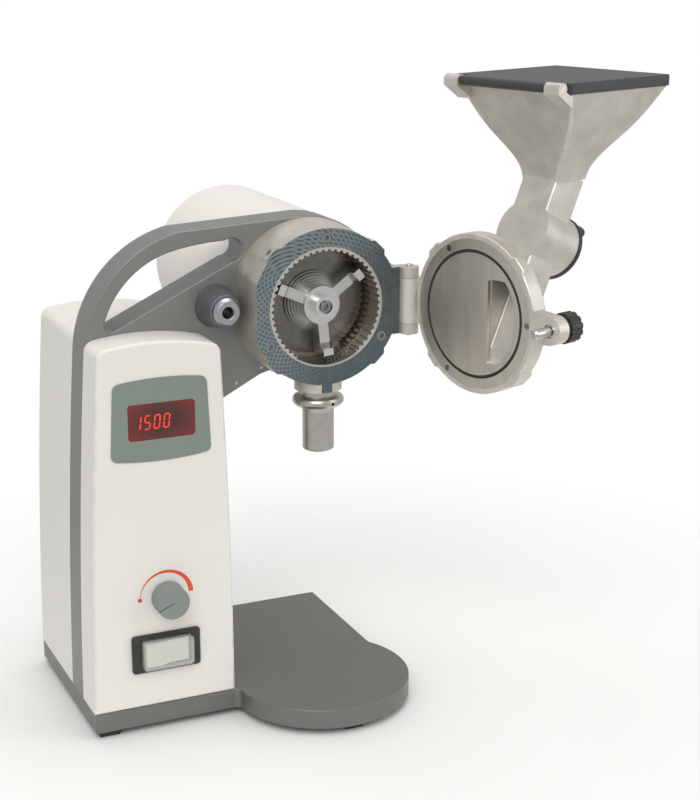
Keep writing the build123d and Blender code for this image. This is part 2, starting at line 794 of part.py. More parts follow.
with BuildPart() as rear_shield:
    with BuildSketch(mill(-rear_bearing_at + 4)):
        Circle(motor_radius - motor_wall)
        with PolarLocations(42, 8, start_angle=22.5):
            Circle(9, mode=Mode.SUBTRACT)
    extrude(amount=-6)
    with BuildSketch(mill(-rear_bearing_at + 4)):
        Circle(18)
    extrude(amount=-12)
    with BuildSketch(mill(-rear_bearing_at)):
        Circle(13)
    extrude(amount=-8, mode=Mode.SUBTRACT)
    with BuildSketch(mill(-rear_bearing_at + 4)):
        Circle(8)
    extrude(amount=-4, mode=Mode.SUBTRACT)
    with BuildSketch(mill(-brush_depth - 6)):
        with Locations((29, 0), (-29, 0)):
            Rectangle(20, 10)
    extrude(amount=12)
    with BuildSketch(mill(-rear_bearing_at + 4)):
        with Locations((34, 0), (-34, 0)):
            Rectangle(10, 10)
    extrude(amount=10)
    with BuildSketch(mill(-brush_depth - 4)):
        with Locations((29, 0), (-29, 0)):
            Rectangle(22, 6)
    extrude(amount=8, mode=Mode.SUBTRACT)
rear_shield.part.label = "rear_shield"
export_step(rear_shield.part, "parts/rear_shield.step")

with BuildPart() as motor_shaft:
    with BuildSketch(mill(-rear_bearing_at + 2)):
        Circle(shaft_radius)
    extrude(amount=rear_bearing_at - 2 + 30)
    with BuildSketch(mill(-rear_bearing_at + 2)):
        Circle(5)
    extrude(amount=-28)
    with BuildSketch(mill(30)):
        Circle(2.5)
    extrude(amount=-20, mode=Mode.SUBTRACT)
motor_shaft.part.label = "motor_shaft"
export_step(motor_shaft.part, "parts/motor_shaft.step")

with BuildPart() as cooling_fan:
    with BuildSketch(mill(-rear_bearing_at - 12)):
        Circle(46)
        Circle(5, mode=Mode.SUBTRACT)
    extrude(amount=-2)
    with BuildSketch(mill(-rear_bearing_at - 14)):
        Circle(12)
        Circle(5, mode=Mode.SUBTRACT)
        with PolarLocations(30, 10):
            Rectangle(30, 2)
    extrude(amount=-10)
cooling_fan.part.label = "cooling_fan"
export_step(cooling_fan.part, "parts/cooling_fan.step")


# ---- grinding chamber ----

def padded_outline(radius):
    """A round outline with four corner pads, shared by the chamber and the door."""
    with BuildSketch() as outline:
        Circle(radius)
        with BuildLine():
            Polyline((pad_half, pad_cut), (pad_cut, pad_half), (-pad_cut, pad_half),
                     (-pad_half, pad_cut), (-pad_half, -pad_cut), (-pad_cut, -pad_half),
                     (pad_cut, -pad_half), (pad_half, -pad_cut), close=True)
        make_face()
    return outline.sketch_local


def sieve_sector():
    """The wedge below the rotor axis that the insert leaves to the sieve."""
    half, reach = radians(sieve_half_angle), insert_radius + 20
    with BuildSketch() as sector:
        with BuildLine():
            Polyline((0, 0), (-reach * sin(half), -reach * cos(half)),
                     (reach * sin(half), -reach * cos(half)), close=True)
        make_face()
    return sector.sketch_local


with BuildPart() as chamber_housing:
    with BuildSketch(mill()):
        Circle(chamber_foot_radius)
    with BuildSketch(mill(chamber_depth)):
        Circle(chamber_radius)
    loft()
    with BuildSketch(mill(chamber_depth)):
        add(padded_outline(chamber_radius))
    extrude(amount=-16)
    with BuildSketch(mill(22)):
        with Locations((53.3, 0)):
            Rectangle(26.6, 2 * lug_outer)
    extrude(amount=chamber_depth - 22)
    with BuildSketch(mill()):
        with Locations((flat_x - 10, 0)):
            Rectangle(20, 140)
    extrude(amount=chamber_depth, mode=Mode.SUBTRACT)
    with BuildSketch(level(collar_bottom, 0, outlet_depth)):
        Circle(collar_radius)
    extrude(amount=25)
    with BuildSketch(mill(chamber_depth)):
        Rectangle(200, 200)
    extrude(amount=10, mode=Mode.SUBTRACT)
    for lower, upper in ((-lug_outer, -lug_inner), (lug_inner, lug_outer)):
        with BuildSketch(level(rotor_z + lower, hinge_reach, chamber_depth)):
            Circle(knuckle_radius)
            with Locations((-8, 5.5)):
                Rectangle(17, 10)
        extrude(amount=upper - lower)
    with BuildSketch(mill()):
        Circle(spigot_bore)
    extrude(amount=-12)
    with BuildSketch(mill(chamber_floor)):
        Circle(insert_radius)
    extrude(amount=chamber_depth, mode=Mode.SUBTRACT)
    with BuildSketch(mill(-12)):
        Circle(seal_radius)
    extrude(amount=40, mode=Mode.SUBTRACT)
    with BuildSketch(level(rotor_z - 62, 0, outlet_depth)):
        Circle(outlet_bore)
    with BuildSketch(level(rotor_z - 44, 0, outlet_depth)):
        RectangleRounded(46, 28, 6)
    loft(mode=Mode.SUBTRACT)
    with BuildSketch(level(collar_bottom, 0, outlet_depth)):
        Circle(13)
    extrude(amount=rotor_z - 62 - collar_bottom, mode=Mode.SUBTRACT)
    with BuildSketch(mill(chamber_depth)):
        with PolarLocations(bolt_circle, 3, start_angle=90):
            Circle(2.5)
    extrude(amount=-chamber_depth, mode=Mode.SUBTRACT)
    with BuildSketch(mill(chamber_depth)):
        with PolarLocations(bolt_circle, 3, start_angle=90):
            Circle(4.8)
    extrude(amount=-5.4, mode=Mode.SUBTRACT)
    with BuildSketch(level(rotor_z - lug_outer, hinge_reach, chamber_depth)):
        Circle(pin_radius)
    extrude(amount=2 * lug_outer, mode=Mode.SUBTRACT)
    with BuildSketch(level(rotor_z - knuckle_half - 0.3, hinge_reach, chamber_depth)):
        Circle(knuckle_radius + 0.4)
    extrude(amount=2 * knuckle_half + 0.6, mode=Mode.SUBTRACT)
    with BuildSketch(Plane(origin=mill(37).from_local_coords(Vector(-50, 50, 0)),
                           x_dir=(0, 1, 0), z_dir=(-1, 0, 1))):
        Circle(3)
    extrude(amount=-30, mode=Mode.SUBTRACT)
chamber_housing.part.label = "chamber_housing"
export_step(chamber_housing.part, "parts/chamber_housing.step")

lock_place = mill(37).from_local_coords(Vector(-47.5, 47.5, 0))

with BuildPart() as insert_lock_screw:
    with BuildSketch(Plane(origin=lock_place, x_dir=(0, 1, 0), z_dir=(-1, 0, 1))):
        Circle(3)
    extrude(amount=-(Vector(47.5, 47.5, 0).length - insert_radius))
    with BuildSketch(Plane(origin=lock_place, x_dir=(0, 1, 0), z_dir=(-1, 0, 1))):
        Rectangle(7, 1)
    extrude(amount=-1.5, mode=Mode.SUBTRACT)
insert_lock_screw.part.label = "insert_lock_screw"
export_step(insert_lock_screw.part, "parts/insert_lock_screw.step")

with BuildPart() as chamber_screws:
    with BuildSketch(mill(chamber_depth - 0.4)):
        with PolarLocations(bolt_circle, 3, start_angle=90):
            Circle(4.5)
    extrude(amount=-5)
    with BuildSketch(mill(chamber_depth - 0.4)):
        with PolarLocations(bolt_circle, 3, start_angle=90):
            RegularPolygon(2.3, 6)
    extrude(amount=-3, mode=Mode.SUBTRACT)
    with BuildSketch(mill(chamber_depth - 5.4)):
        with PolarLocations(bolt_circle, 3, start_angle=90):
            Circle(2.5)
    extrude(amount=-(chamber_depth - 5.4 + 14))
chamber_screws.part.label = "chamber_screws"
export_step(chamber_screws.part, "parts/chamber_screws.step")

with BuildPart() as grinding_insert:
    with BuildSketch(mill(chamber_floor)):
        Circle(insert_radius)
        Circle(tooth_tip_radius, mode=Mode.SUBTRACT)
        with PolarLocations(tooth_tip_radius + 0.4, tooth_count):
            Circle(1.35, mode=Mode.SUBTRACT)
    extrude(amount=insert_front - chamber_floor)
    with BuildSketch(mill(23.5)):
        Circle(tooth_tip_radius + 1.9)
    extrude(amount=3, mode=Mode.SUBTRACT)
    with BuildSketch(mill(chamber_floor)):
        add(sieve_sector())
    extrude(amount=insert_front, mode=Mode.SUBTRACT)
grinding_insert.part.label = "grinding_insert"
export_step(grinding_insert.part, "parts/grinding_insert.step")

with BuildPart() as sieve:
    with BuildSketch(mill(chamber_floor)):
        Circle(insert_radius)
        Circle(insert_radius - sieve_thickness, mode=Mode.SUBTRACT)
        add(sieve_sector(), mode=Mode.INTERSECT)
    extrude(amount=insert_front - chamber_floor)
    for row in range(2):
        for turn in range(-7, 8):
            angle = radians(270 + turn * sieve_slot_step)
            spoke = Vector(cos(angle), 0, sin(angle))
            origin = mill(chamber_floor + 10 + row * 16).origin + spoke * (insert_radius - 6)
            with BuildSketch(Plane(origin=origin, x_dir=(0, 1, 0), z_dir=spoke)):
                SlotOverall(*sieve_slot, rotation=sieve_slot_turn)
            extrude(amount=8, mode=Mode.SUBTRACT)
sieve.part.label = "sieve"
export_step(sieve.part, "parts/sieve.step")

with BuildPart() as shaft_seal:
    with BuildSketch(mill(-12)):
        Circle(seal_radius)
        Circle(seal_bore, mode=Mode.SUBTRACT)
    extrude(amount=12 + chamber_floor)
shaft_seal.part.label = "shaft_seal"
export_step(shaft_seal.part, "parts/shaft_seal.step")

with BuildPart() as grinding_rotor:
    with BuildSketch(mill(rotor_back)):
        Circle(rotor_radius)
    extrude(amount=rotor_disc_front - rotor_back)
    for step in range(5):
        with BuildSketch(mill(rotor_disc_front + 2 * step)):
            Circle(hub_radius + 10 - 2 * step)
        extrude(amount=2)
    with BuildSketch(mill(rotor_disc_front)):
        Circle(hub_radius)
    extrude(amount=hub_front - rotor_disc_front)
    with BuildSketch(mill(hub_front)):
        Circle(nose_radius)
    extrude(amount=nose_front - hub_front)
    for arm in range(3):
        turn = radians(blade_angle + 120 * arm)
        along = Vector(cos(turn), 0, sin(turn))
        wall = Plane(origin=mill(rotor_disc_front).origin, x_dir=along,
                     z_dir=along.cross(Vector(0, -1, 0)))
        with BuildSketch(wall.offset(-blade_width / 2)):
            with BuildLine():
                height = blade_front - rotor_disc_front
                Polyline((10, -1), (10, height - 6), (33, height - 6), (34.5, height - 8),
                         (36, height - 6), (37, height), (43, height), (rotor_radius - 0.3, height - 4),
                         (rotor_radius - 0.3, -1), close=True)
            make_face()
        extrude(amount=blade_width)
    with BuildSketch(mill(rotor_back)):
        Circle(shaft_radius)
    extrude(amount=30 - rotor_back, mode=Mode.SUBTRACT)
    with BuildSketch(mill(nose_front)):
        Circle(6)
    extrude(amount=-5, mode=Mode.SUBTRACT)
    with BuildSketch(mill(nose_front)):
        Circle(2.5)
    extrude(amount=-20, mode=Mode.SUBTRACT)
grinding_rotor.part.label = "grinding_rotor"
export_step(grinding_rotor.part, "parts/grinding_rotor.step")

with BuildPart() as rotor_screw:
    with BuildSketch(mill(nose_front - 5)):
        Circle(4.8)
    extrude(amount=5)
    fillet(rotor_screw.edges().sort_by(Axis.Y)[0], radius=0.5)
    with BuildSketch(mill(nose_front)):
        RegularPolygon(2.6, 6)
    extrude(amount=-3, mode=Mode.SUBTRACT)
    with BuildSketch(mill(nose_front - 5)):
        Circle(2.5)
    extrude(amount=-22)
rotor_screw.part.label = "rotor_screw"
export_step(rotor_screw.part, "parts/rotor_screw.step")

with BuildPart() as outlet_spigot:
    with BuildSketch(side(0, outlet_depth, 0)) as spigot_half:
        with BuildLine():
            Polyline((outlet_bore, rotor_z - 62), (13, rotor_z - 62), (13, collar_bottom),
                     (15.2, collar_bottom), (15.2, 275), (20.4, 273.6), (21.8, 271.6), (21.8, 269),
                     (19.6, 266.2), (14.4, 265.2), (13.9, 263.5), (tube_radius, 260),
                     (tube_radius, tube_bottom + 1),
                     (tube_radius - 1, tube_bottom), (outlet_bore, tube_bottom), close=True)
        make_face()
        fillet(spigot_half.vertices().filter_by(lambda v: 271 < v.Y < 274), radius=0.8)
    revolve(axis=Axis(level(0, 0, outlet_depth).origin, (0, 0, 1)))
    with BuildSketch(Plane(origin=level(270, 0, outlet_depth).origin, x_dir=(0, 0, 1),
                           z_dir=(sin(radians(12)), -cos(radians(12)), 0))):
        Circle(1.4)
    extrude(amount=30, mode=Mode.SUBTRACT)
outlet_spigot.part.label = "outlet_spigot"
export_step(outlet_spigot.part, "parts/outlet_spigot.step")

with BuildPart() as hinge_pin:
    with BuildSketch(level(rotor_z - lug_outer - 2, hinge_reach, chamber_depth)):
        Circle(pin_radius)
    extrude(amount=2 * lug_outer + 4)
    chamfer(hinge_pin.edges(), length=0.6)
hinge_pin.part.label = "hinge_pin"
export_step(hinge_pin.part, "parts/hinge_pin.step")


# ---- hopper: funnel, feed duct and valve body in one casting ----

funnel_sections = ((kink, 19.4, 17.6, 57.0), (118.0, 21.8, 19.8, 57.9), (148.0, 42.6, 37.2, 60.2),
                   (172.0, 55.6, 51.4, 62.8), (lid_top - lid_thickness, rim_half, rim_half, lid_middle))

with BuildPart() as hopper_outer:
    for height, half_x, half_b, middle in funnel_sections:
        with BuildSketch(door_level(height, feed_x, middle)):
            RectangleRounded(2 * half_x, 2 * half_b, 3)
    loft()
    with BuildSketch(duct(54)):
        RectangleRounded(duct_width, duct_depth, 3)
    extrude(amount=-160)
    split(bisect_by=door(disc_thickness + seal_gap), keep=Keep.TOP)
    with BuildSketch(valve()):
        Circle(valve_radius)
    extrude(amount=valve_length)
hopper_solid = hopper_outer.part

with BuildPart() as feed_hopper:
    add(hopper_solid)
    for lug_left in (-lid_half, lid_half - lid_lug):
        with BuildSketch(lid_hinge(lug_left)):
            Circle(4.6)
            with BuildLine():
                Polyline((4.6, 0), (4.6, -4), (-11.5, -15), (-11.5, -5.2), (-8.4, -5.2), (0, 0),
                         close=True)
            make_face()
        extrude(amount=lid_lug)
    for height, half_x, half_b, middle in funnel_sections:
        with BuildSketch(door_level(height, feed_x, middle)):
            RectangleRounded(2 * (half_x - duct_wall), 2 * (half_b - duct_wall), 2)
    loft(mode=Mode.SUBTRACT)
    with BuildSketch(duct(56)):
        RectangleRounded(duct_width - 2 * duct_wall, duct_depth - 2 * duct_wall, 2)
    extrude(amount=-160, mode=Mode.SUBTRACT)
    with BuildSketch(valve(duct_wall)):
        Circle(drum_radius)
    extrude(amount=valve_length, mode=Mode.SUBTRACT)
    with BuildSketch(lid_hinge(-lid_half)):
        Circle(lid_pin_radius)
    extrude(amount=2 * lid_half, mode=Mode.SUBTRACT)
feed_hopper.part.label = "feed_hopper"
export_step(feed_hopper.part, "parts/feed_hopper.step")

with BuildPart() as lid_pin:
    with BuildSketch(lid_hinge(-lid_half)):
        Circle(lid_pin_radius)
    extrude(amount=2 * lid_half)
lid_pin.part.label = "lid_pin"
export_step(lid_pin.part, "parts/lid_pin.step")

with BuildPart() as hopper_lid:
    with BuildSketch(door_level(lid_top - lid_thickness + seal_gap, feed_x, lid_middle)):
        RectangleRounded(2 * lid_half, 2 * lid_half, 3)
    extrude(amount=lid_thickness - seal_gap)
    tongue = 2 * (lid_half - lid_lug) - 1
    with BuildSketch(lid_hinge(-tongue / 2)):
        Circle(3.9)
        with BuildLine():
            Polyline((0, 3.9), (-12, 3.9), (-12, -4), (0, -3.9), close=True)
        make_face()
    extrude(amount=tongue)
    with BuildSketch(lid_hinge(-tongue / 2)):
        Circle(lid_pin_radius + fit)
    extrude(amount=tongue, mode=Mode.SUBTRACT)
hopper_lid.part.label = "hopper_lid"
export_step(hopper_lid.part, "parts/hopper_lid.step")

with BuildPart() as dosing_drum:
    with BuildSketch(valve(duct_wall + 0.3)):
        Circle(drum_radius - fit)
    extrude(amount=valve_length - duct_wall)
    with BuildSketch(valve(0)):
        Rectangle(duct_width - 2 * duct_wall, 60)
    extrude(amount=duct_depth - duct_wall, mode=Mode.SUBTRACT)
    with BuildSketch(valve(valve_length + 0.3)):
        Circle(4)
    extrude(amount=6)
dosing_drum.part.label = "dosing_drum"
export_step(dosing_drum.part, "parts/dosing_drum.step")

with BuildPart() as dosing_knob:
    with BuildSketch(valve(valve_length + 0.3)):
        Circle(valve_radius + 0.9)
        with Locations(Location((0, 0, 0), -58)):
            with Locations((valve_radius, 0)):
                Rectangle(9, 8)
    extrude(amount=3.4)
    with BuildSketch(valve(valve_length + 3.7)):
        with Locations(Location((0, 0, 0), -58)):
            RectangleRounded(52, 10, 4)
    extrude(amount=9)
    with BuildSketch(valve(valve_length + 0.3)):
        Circle(4)
    extrude(amount=6, mode=Mode.SUBTRACT)
dosing_knob.part.label = "dosing_knob"
export_step(dosing_knob.part, "parts/dosing_knob.step")


# ---- door ----

with BuildPart() as door_casting:
    with BuildSketch(door(seal_gap)):
        add(padded_outline(door_radius))
    extrude(amount=door_thickness)
    ends = door_casting.faces().sort_by(Axis(door().origin, door().z_dir))
    chamfer(ends[0].outer_wire().edges(), length=0.8)
    fillet(ends[-1].outer_wire().edges(), radius=2)
    with BuildSketch(door(seal_gap)):
        with BuildLine():
            Polyline((-58, 16), (-66, 12.6), (-clamp_reach, lug_radius), (-clamp_reach, -lug_radius),
                     (-66, -12.6), (-58, -16), close=True)
        make_face()
        with Locations((-clamp_reach, 0)):
            Circle(lug_radius)
    extrude(amount=lug_thickness)
    with BuildSketch(door_level(-knuckle_half, hinge_reach)):
        Circle(knuckle_radius)
        with Locations((-9, -6.1)):
            Rectangle(18, 8)
    extrude(amount=2 * knuckle_half)
    with BuildSketch(door_level(-knuckle_half, hinge_reach)):
        Circle(pin_radius + fit)
    extrude(amount=2 * knuckle_half, mode=Mode.SUBTRACT)
    with BuildSketch(door(seal_gap)):
        Circle(disc_radius)
    extrude(amount=disc_thickness, mode=Mode.SUBTRACT)
    add(hopper_solid, mode=Mode.SUBTRACT)
    with BuildSketch(door(disc_thickness)):
        with PolarLocations(bolt_circle, 3, start_angle=60):
            Circle(disc_screw_radius)
    extrude(amount=8, mode=Mode.SUBTRACT)
    with BuildSketch(door(0)):
        with Locations((-clamp_reach, 0)):
            Circle(clamp_screw_radius + fit)
    extrude(amount=20, mode=Mode.SUBTRACT)
    with BuildSketch(door(0)):
        with Locations((-clamp_reach, 0)):
            Circle(5.5)
    extrude(amount=8.5, mode=Mode.SUBTRACT)
door_casting.part.label = "door_casting"
export_step(door_casting.part, "parts/door_casting.step")

with BuildPart() as door_disc:
    with BuildSketch(door(seal_gap)):
        Circle(disc_radius)
    extrude(amount=disc_thickness)
    with BuildSketch(door(seal_gap)):
        Circle(oring_radius + oring_section / 2)
        Circle(oring_radius - oring_section / 2, mode=Mode.SUBTRACT)
    extrude(amount=oring_section + 0.1, mode=Mode.SUBTRACT)
    with BuildSketch(door(seal_gap)) as slot:
        Circle(slot_radius)
        with Locations(((slot_chord - slot_radius) / 2, (slot_top + slot_bottom) / 2)):
            Rectangle(slot_chord + slot_radius, slot_top - slot_bottom, mode=Mode.INTERSECT)
        fillet(slot.vertices(), radius=3)
    extrude(amount=disc_thickness, mode=Mode.SUBTRACT)
    with BuildSketch(door(seal_gap)):
        with PolarLocations(bolt_circle, 3, start_angle=60):
            Circle(disc_screw_head)
    extrude(amount=disc_thickness, mode=Mode.SUBTRACT)
door_disc.part.label = "door_disc"
export_step(door_disc.part, "parts/door_disc.step")

with BuildPart() as door_seal:
    with BuildSketch(door_level(0, oring_radius, seal_gap + 0.05 + oring_section / 2)):
        Circle(oring_section / 2)
    revolve(axis=Axis(door().origin, door().z_dir))
door_seal.part.label = "door_seal"
export_step(door_seal.part, "parts/door_seal.step")

with BuildPart() as disc_screws:
    with BuildSketch(door(seal_gap)):
        with PolarLocations(bolt_circle, 3, start_angle=60):
            Circle(disc_screw_head)
    extrude(amount=disc_thickness)
    with BuildSketch(door(seal_gap)):
        with PolarLocations(bolt_circle, 3, start_angle=60):
            Rectangle(4, 0.8)
    extrude(amount=0.9, mode=Mode.SUBTRACT)
    with BuildSketch(door(seal_gap + disc_thickness)):
        with PolarLocations(bolt_circle, 3, start_angle=60):
            Circle(disc_screw_radius)
    extrude(amount=7)
disc_screws.part.label = "disc_screws"
export_step(disc_screws.part, "parts/disc_screws.step")


# ---- clamp: captive screw and fluted knob on the door's lug ----

with BuildPart() as clamp_screw:
    with BuildSketch(door(-clamp_tip)):
        with Locations((-clamp_reach, 0)):
            Circle(clamp_screw_radius)
    extrude(amount=clamp_tip + clamp_shank)
    chamfer(clamp_screw.edges().sort_by(Axis(door().origin, door().z_dir))[0], length=1.3)
    with BuildSketch(door(-clamp_tip)):
        with Locations((-clamp_reach, 0)):
            Circle(1)
    extrude(amount=1.5, mode=Mode.SUBTRACT)
    with BuildSketch(door(clamp_ring_out)):
        with Locations((-clamp_reach, 0)):
            Circle(clamp_screw_radius)
            Circle(clamp_groove_radius, mode=Mode.SUBTRACT)
    extrude(amount=clamp_ring_thickness, mode=Mode.SUBTRACT)
clamp_screw.part.label = "clamp_screw"
export_step(clamp_screw.part, "parts/clamp_screw.step")

with BuildPart() as clamp_ring:
    with BuildSketch(door(clamp_ring_out)):
        with Locations((-clamp_reach, 0)):
            Circle(5.1)
            Circle(clamp_groove_radius, mode=Mode.SUBTRACT)
    extrude(amount=clamp_ring_thickness)
clamp_ring.part.label = "clamp_ring"
export_step(clamp_ring.part, "parts/clamp_ring.step")

with BuildPart() as clamp_knob:
    with BuildSketch(door(lug_thickness + seal_gap + 0.3)):
        with Locations((-clamp_reach, 0)):
            Circle(10.6)
    extrude(amount=3)
    with BuildSketch(door(lug_thickness + seal_gap + 3.3)):
        with Locations((-clamp_reach, 0)):
            Circle(12.4)
            with PolarLocations(13.2, 12):
                Circle(1.7, mode=Mode.SUBTRACT)
    extrude(amount=12.4)
    with BuildSketch(door(0)):
        with Locations((-clamp_reach, 0)):
            Circle(clamp_screw_radius)
    extrude(amount=clamp_shank, mode=Mode.SUBTRACT)
clamp_knob.part.label = "clamp_knob"
export_step(clamp_knob.part, "parts/clamp_knob.step")
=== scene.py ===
"""Analytical lab mill: the finish of every piece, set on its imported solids.

Metres, +Z up, the front towards -Y. The sections follow the mill as it is put together.
"""

import json
from math import cos, pi, radians, sin

import bmesh
import bpy
from mathutils import Matrix, Vector

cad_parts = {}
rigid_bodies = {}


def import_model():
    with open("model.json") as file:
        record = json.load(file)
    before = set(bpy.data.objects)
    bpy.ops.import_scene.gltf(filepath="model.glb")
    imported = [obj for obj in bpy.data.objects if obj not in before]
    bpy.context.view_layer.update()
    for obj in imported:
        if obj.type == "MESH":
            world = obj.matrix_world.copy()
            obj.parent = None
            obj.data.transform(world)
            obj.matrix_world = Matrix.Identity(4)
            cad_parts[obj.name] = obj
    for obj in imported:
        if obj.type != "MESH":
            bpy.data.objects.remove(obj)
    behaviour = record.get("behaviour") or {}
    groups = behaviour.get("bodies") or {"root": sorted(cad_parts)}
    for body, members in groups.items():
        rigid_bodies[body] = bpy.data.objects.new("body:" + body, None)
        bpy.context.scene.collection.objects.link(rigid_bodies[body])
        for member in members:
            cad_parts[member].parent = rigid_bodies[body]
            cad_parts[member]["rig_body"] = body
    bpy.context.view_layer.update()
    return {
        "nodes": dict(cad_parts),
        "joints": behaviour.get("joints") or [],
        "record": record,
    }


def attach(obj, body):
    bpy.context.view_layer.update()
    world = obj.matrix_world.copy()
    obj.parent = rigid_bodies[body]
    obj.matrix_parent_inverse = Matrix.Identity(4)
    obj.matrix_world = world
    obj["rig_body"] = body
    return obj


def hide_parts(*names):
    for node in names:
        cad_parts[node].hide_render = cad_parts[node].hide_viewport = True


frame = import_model()
nodes = frame["nodes"]
mm = 0.001


# ---- base plate ----
# A thick aluminium plate with a round platform under the outlet, milled, blasted and grey
# anodised. Everything else is bolted to it from below.

class Tone:
    """A number, place or colour that changes over a surface: one socket, with maths on it."""

    def __init__(self, socket):
        self.socket = socket
        self.tree = socket.id_data

    def node(self, kind, settings, inputs, output=0):
        """A node of this kind, set up, fed with these values or tones, as a new tone."""
        made = self.tree.nodes.new(kind)
        for name, value in settings.items():
            setattr(made, name, value)
        for name, value in inputs.items():
            if isinstance(value, Tone):
                self.tree.links.new(value.socket, made.inputs[name])
            else:
                made.inputs[name].default_value = value
        return Tone(made.outputs[output])

    def maths(self, operation, first, second=0.0):
        return self.node("ShaderNodeMath", {"operation": operation}, {0: first, 1: second})

    def __add__(self, other):
        return self.maths("ADD", self, other)

    def __sub__(self, other):
        return self.maths("SUBTRACT", self, other)

    def __mul__(self, other):
        return self.maths("MULTIPLY", self, other)

    def __pow__(self, other):
        return self.maths("POWER", self, other)

    def __gt__(self, other):
        return self.maths("GREATER_THAN", self, other)

    def __lt__(self, other):
        return self.maths("LESS_THAN", self, other)

    def sine(self):
        return self.maths("SINE", self)

    def part(self, axis):
        """One coordinate of a place: 0, 1 or 2."""
        return self.node("ShaderNodeSeparateXYZ", {}, {0: self}, axis)

    def moved(self, centre=(0, 0, 0), turn=(0, 0, 0), stretch=(1, 1, 1)):
        """The place seen from a centre, turned and stretched about it."""
        back = self.node("ShaderNodeVectorMath", {"operation": "SUBTRACT"}, {0: self, 1: centre})
        return self.node("ShaderNodeMapping", {"vector_type": "POINT"},
                         {"Vector": back, "Rotation": turn, "Scale": stretch})

    def grain(self, size, detail=2.0, rough=0.5):
        """Noise whose patches are about so many metres across."""
        return self.node("ShaderNodeTexNoise", {}, {"Vector": self, "Scale": 1 / size,
                                                    "Detail": detail, "Roughness": rough})

    def cells(self, size):
        """The distance from the middles of cells about so many metres across."""
        return self.node("ShaderNodeTexVoronoi", {}, {"Vector": self, "Scale": 1 / size})

    def between(self, low, high, start=0.0, end=1.0):
        """This number's range from low to high, spread from start to end and kept there."""
        return self.node("ShaderNodeMapRange", {"clamp": True},
                         {"Value": self, "From Min": low, "From Max": high,
                          "To Min": start, "To Max": end})

    def blend(self, first, second):
        """The first colour where this is 0, the second where it is 1."""
        return self.node("ShaderNodeMix", {"data_type": "RGBA"}, {0: self, 6: first, 7: second}, 2)

    def into(self, shader, socket):
        self.tree.links.new(self.socket, shader.inputs[socket])

    def relief(self, shader, height):
        """Raises the surface by this tone times so many metres."""
        bumped = self.node("ShaderNodeBump", {}, {"Height": self, "Distance": height})
        bumped.into(shader, "Normal")


def colour(red, green, blue):
    """A colour as seen, in 0 to 255, as the shader's own light values."""
    seen = [value / 255 for value in (red, green, blue)]
    light = [v / 12.92 if v <= 0.04045 else ((v + 0.055) / 1.055) ** 2.4 for v in seen]
    return (*light, 1.0)


def shade(of, share):
    """A colour made darker or lighter by a share."""
    return (*[min(1.0, value * share) for value in of[:3]], 1.0)


def new_finish(name, base, roughness, metal=0.0, coat=0.0):
    """A finish: its material, its shader, and the place on the piece."""
    material = bpy.data.materials.new(name)
    material.use_nodes = True
    tree = material.node_tree
    shader = tree.nodes["Principled BSDF"]
    for socket, value in (("Base Color", base), ("Roughness", roughness), ("Metallic", metal),
                          ("Coat Weight", coat)):
        shader.inputs[socket].default_value = value
    place = Tone(tree.nodes.new("ShaderNodeTexCoord").outputs["Object"])
    return material, shader, place


def anodised(name, base):
    """Blasted and anodised aluminium: a fine sparkling grain with faint clouds."""
    material, shader, place = new_finish(name, base, 0.42, metal=0.55)
    fleck = place.grain(0.5 * mm, 2, 0.6)
    cloud = place.grain(22 * mm, 3)
    depth = fleck.between(0.35, 0.65) * 0.75 + cloud * 0.25
    depth.blend(shade(base, 0.82), shade(base, 1.18)).into(shader, "Base Color")
    (fleck * 0.16 + cloud * 0.08 + 0.3).into(shader, "Roughness")
    fleck.relief(shader, 0.012 * mm)
    return material


def select_only(piece):
    bpy.ops.object.select_all(action="DESELECT")
    piece.select_set(True)
    bpy.context.view_layer.objects.active = piece


def apply_modifier(piece, kind, **settings):
    """Adds a modifier with these settings and makes it part of the mesh."""
    select_only(piece)
    modifier = piece.modifiers.new(kind.lower(), kind)
    for name, value in settings.items():
        setattr(modifier, name, value)
    bpy.ops.object.modifier_apply(modifier=modifier.name)


def smooth(piece, angle=32):
    select_only(piece)
    bpy.ops.object.shade_smooth_by_angle(angle=radians(angle))


def settle(piece, body, node, slot, *finishes):
    """Gives a finished piece its materials, its body, and the solids it stands for."""
    piece.data.materials.clear()
    for material in finishes:
        piece.data.materials.append(material)
    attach(piece, body)
    if node:
        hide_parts(*([node] if isinstance(node, str) else node))


node_slots = {row["node"]: row["material_slot"] for row in frame["record"]["subparts"]}


def dress(node, *finishes, edge=0.0, segments=2, edge_finish=-1, angle=32, join=True):
    """A copy of a solid, its triangles joined and its edges eased, in these finishes.

    Without join it keeps its triangles: the rotor's ring-shaped faces tear when joined.
    """
    piece = bpy.data.objects.new(node + "_skin", nodes[node].data.copy())
    bpy.context.scene.collection.objects.link(piece)
    select_only(piece)
    bpy.ops.mesh.customdata_custom_splitnormals_clear()
    bpy.ops.object.mode_set(mode="EDIT")
    bpy.ops.mesh.select_all(action="SELECT")
    bpy.ops.mesh.remove_doubles(threshold=0.004 * mm)
    if join:
        bpy.ops.mesh.dissolve_limited(angle_limit=radians(0.3))
    bpy.ops.object.mode_set(mode="OBJECT")
    if edge:
        apply_modifier(piece, "BEVEL", width=edge, segments=segments, limit_method="ANGLE",
                       angle_limit=radians(angle), material=edge_finish,
                       use_clamp_overlap=True, harden_normals=False)
    smooth(piece, angle)
    apply_modifier(piece, "WEIGHTED_NORMAL", keep_sharp=True, weight=100)
    settle(piece, nodes[node]["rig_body"], node, node_slots[node], *finishes)
    return piece


def coat_solid(node, finish):
    """Gives a solid that stays in view its finish."""
    nodes[node].material_slots[0].material = finish


plate_grey = colour(136, 136, 133)
plate_finish = anodised("grey_anodised_plate", plate_grey)
# The base takes a darker copy of the plate's anodised grey: a painted dark reflection on the base.
dress("base_plate", anodised("grey_anodised_base_painted_dark", colour(120, 120, 115)))


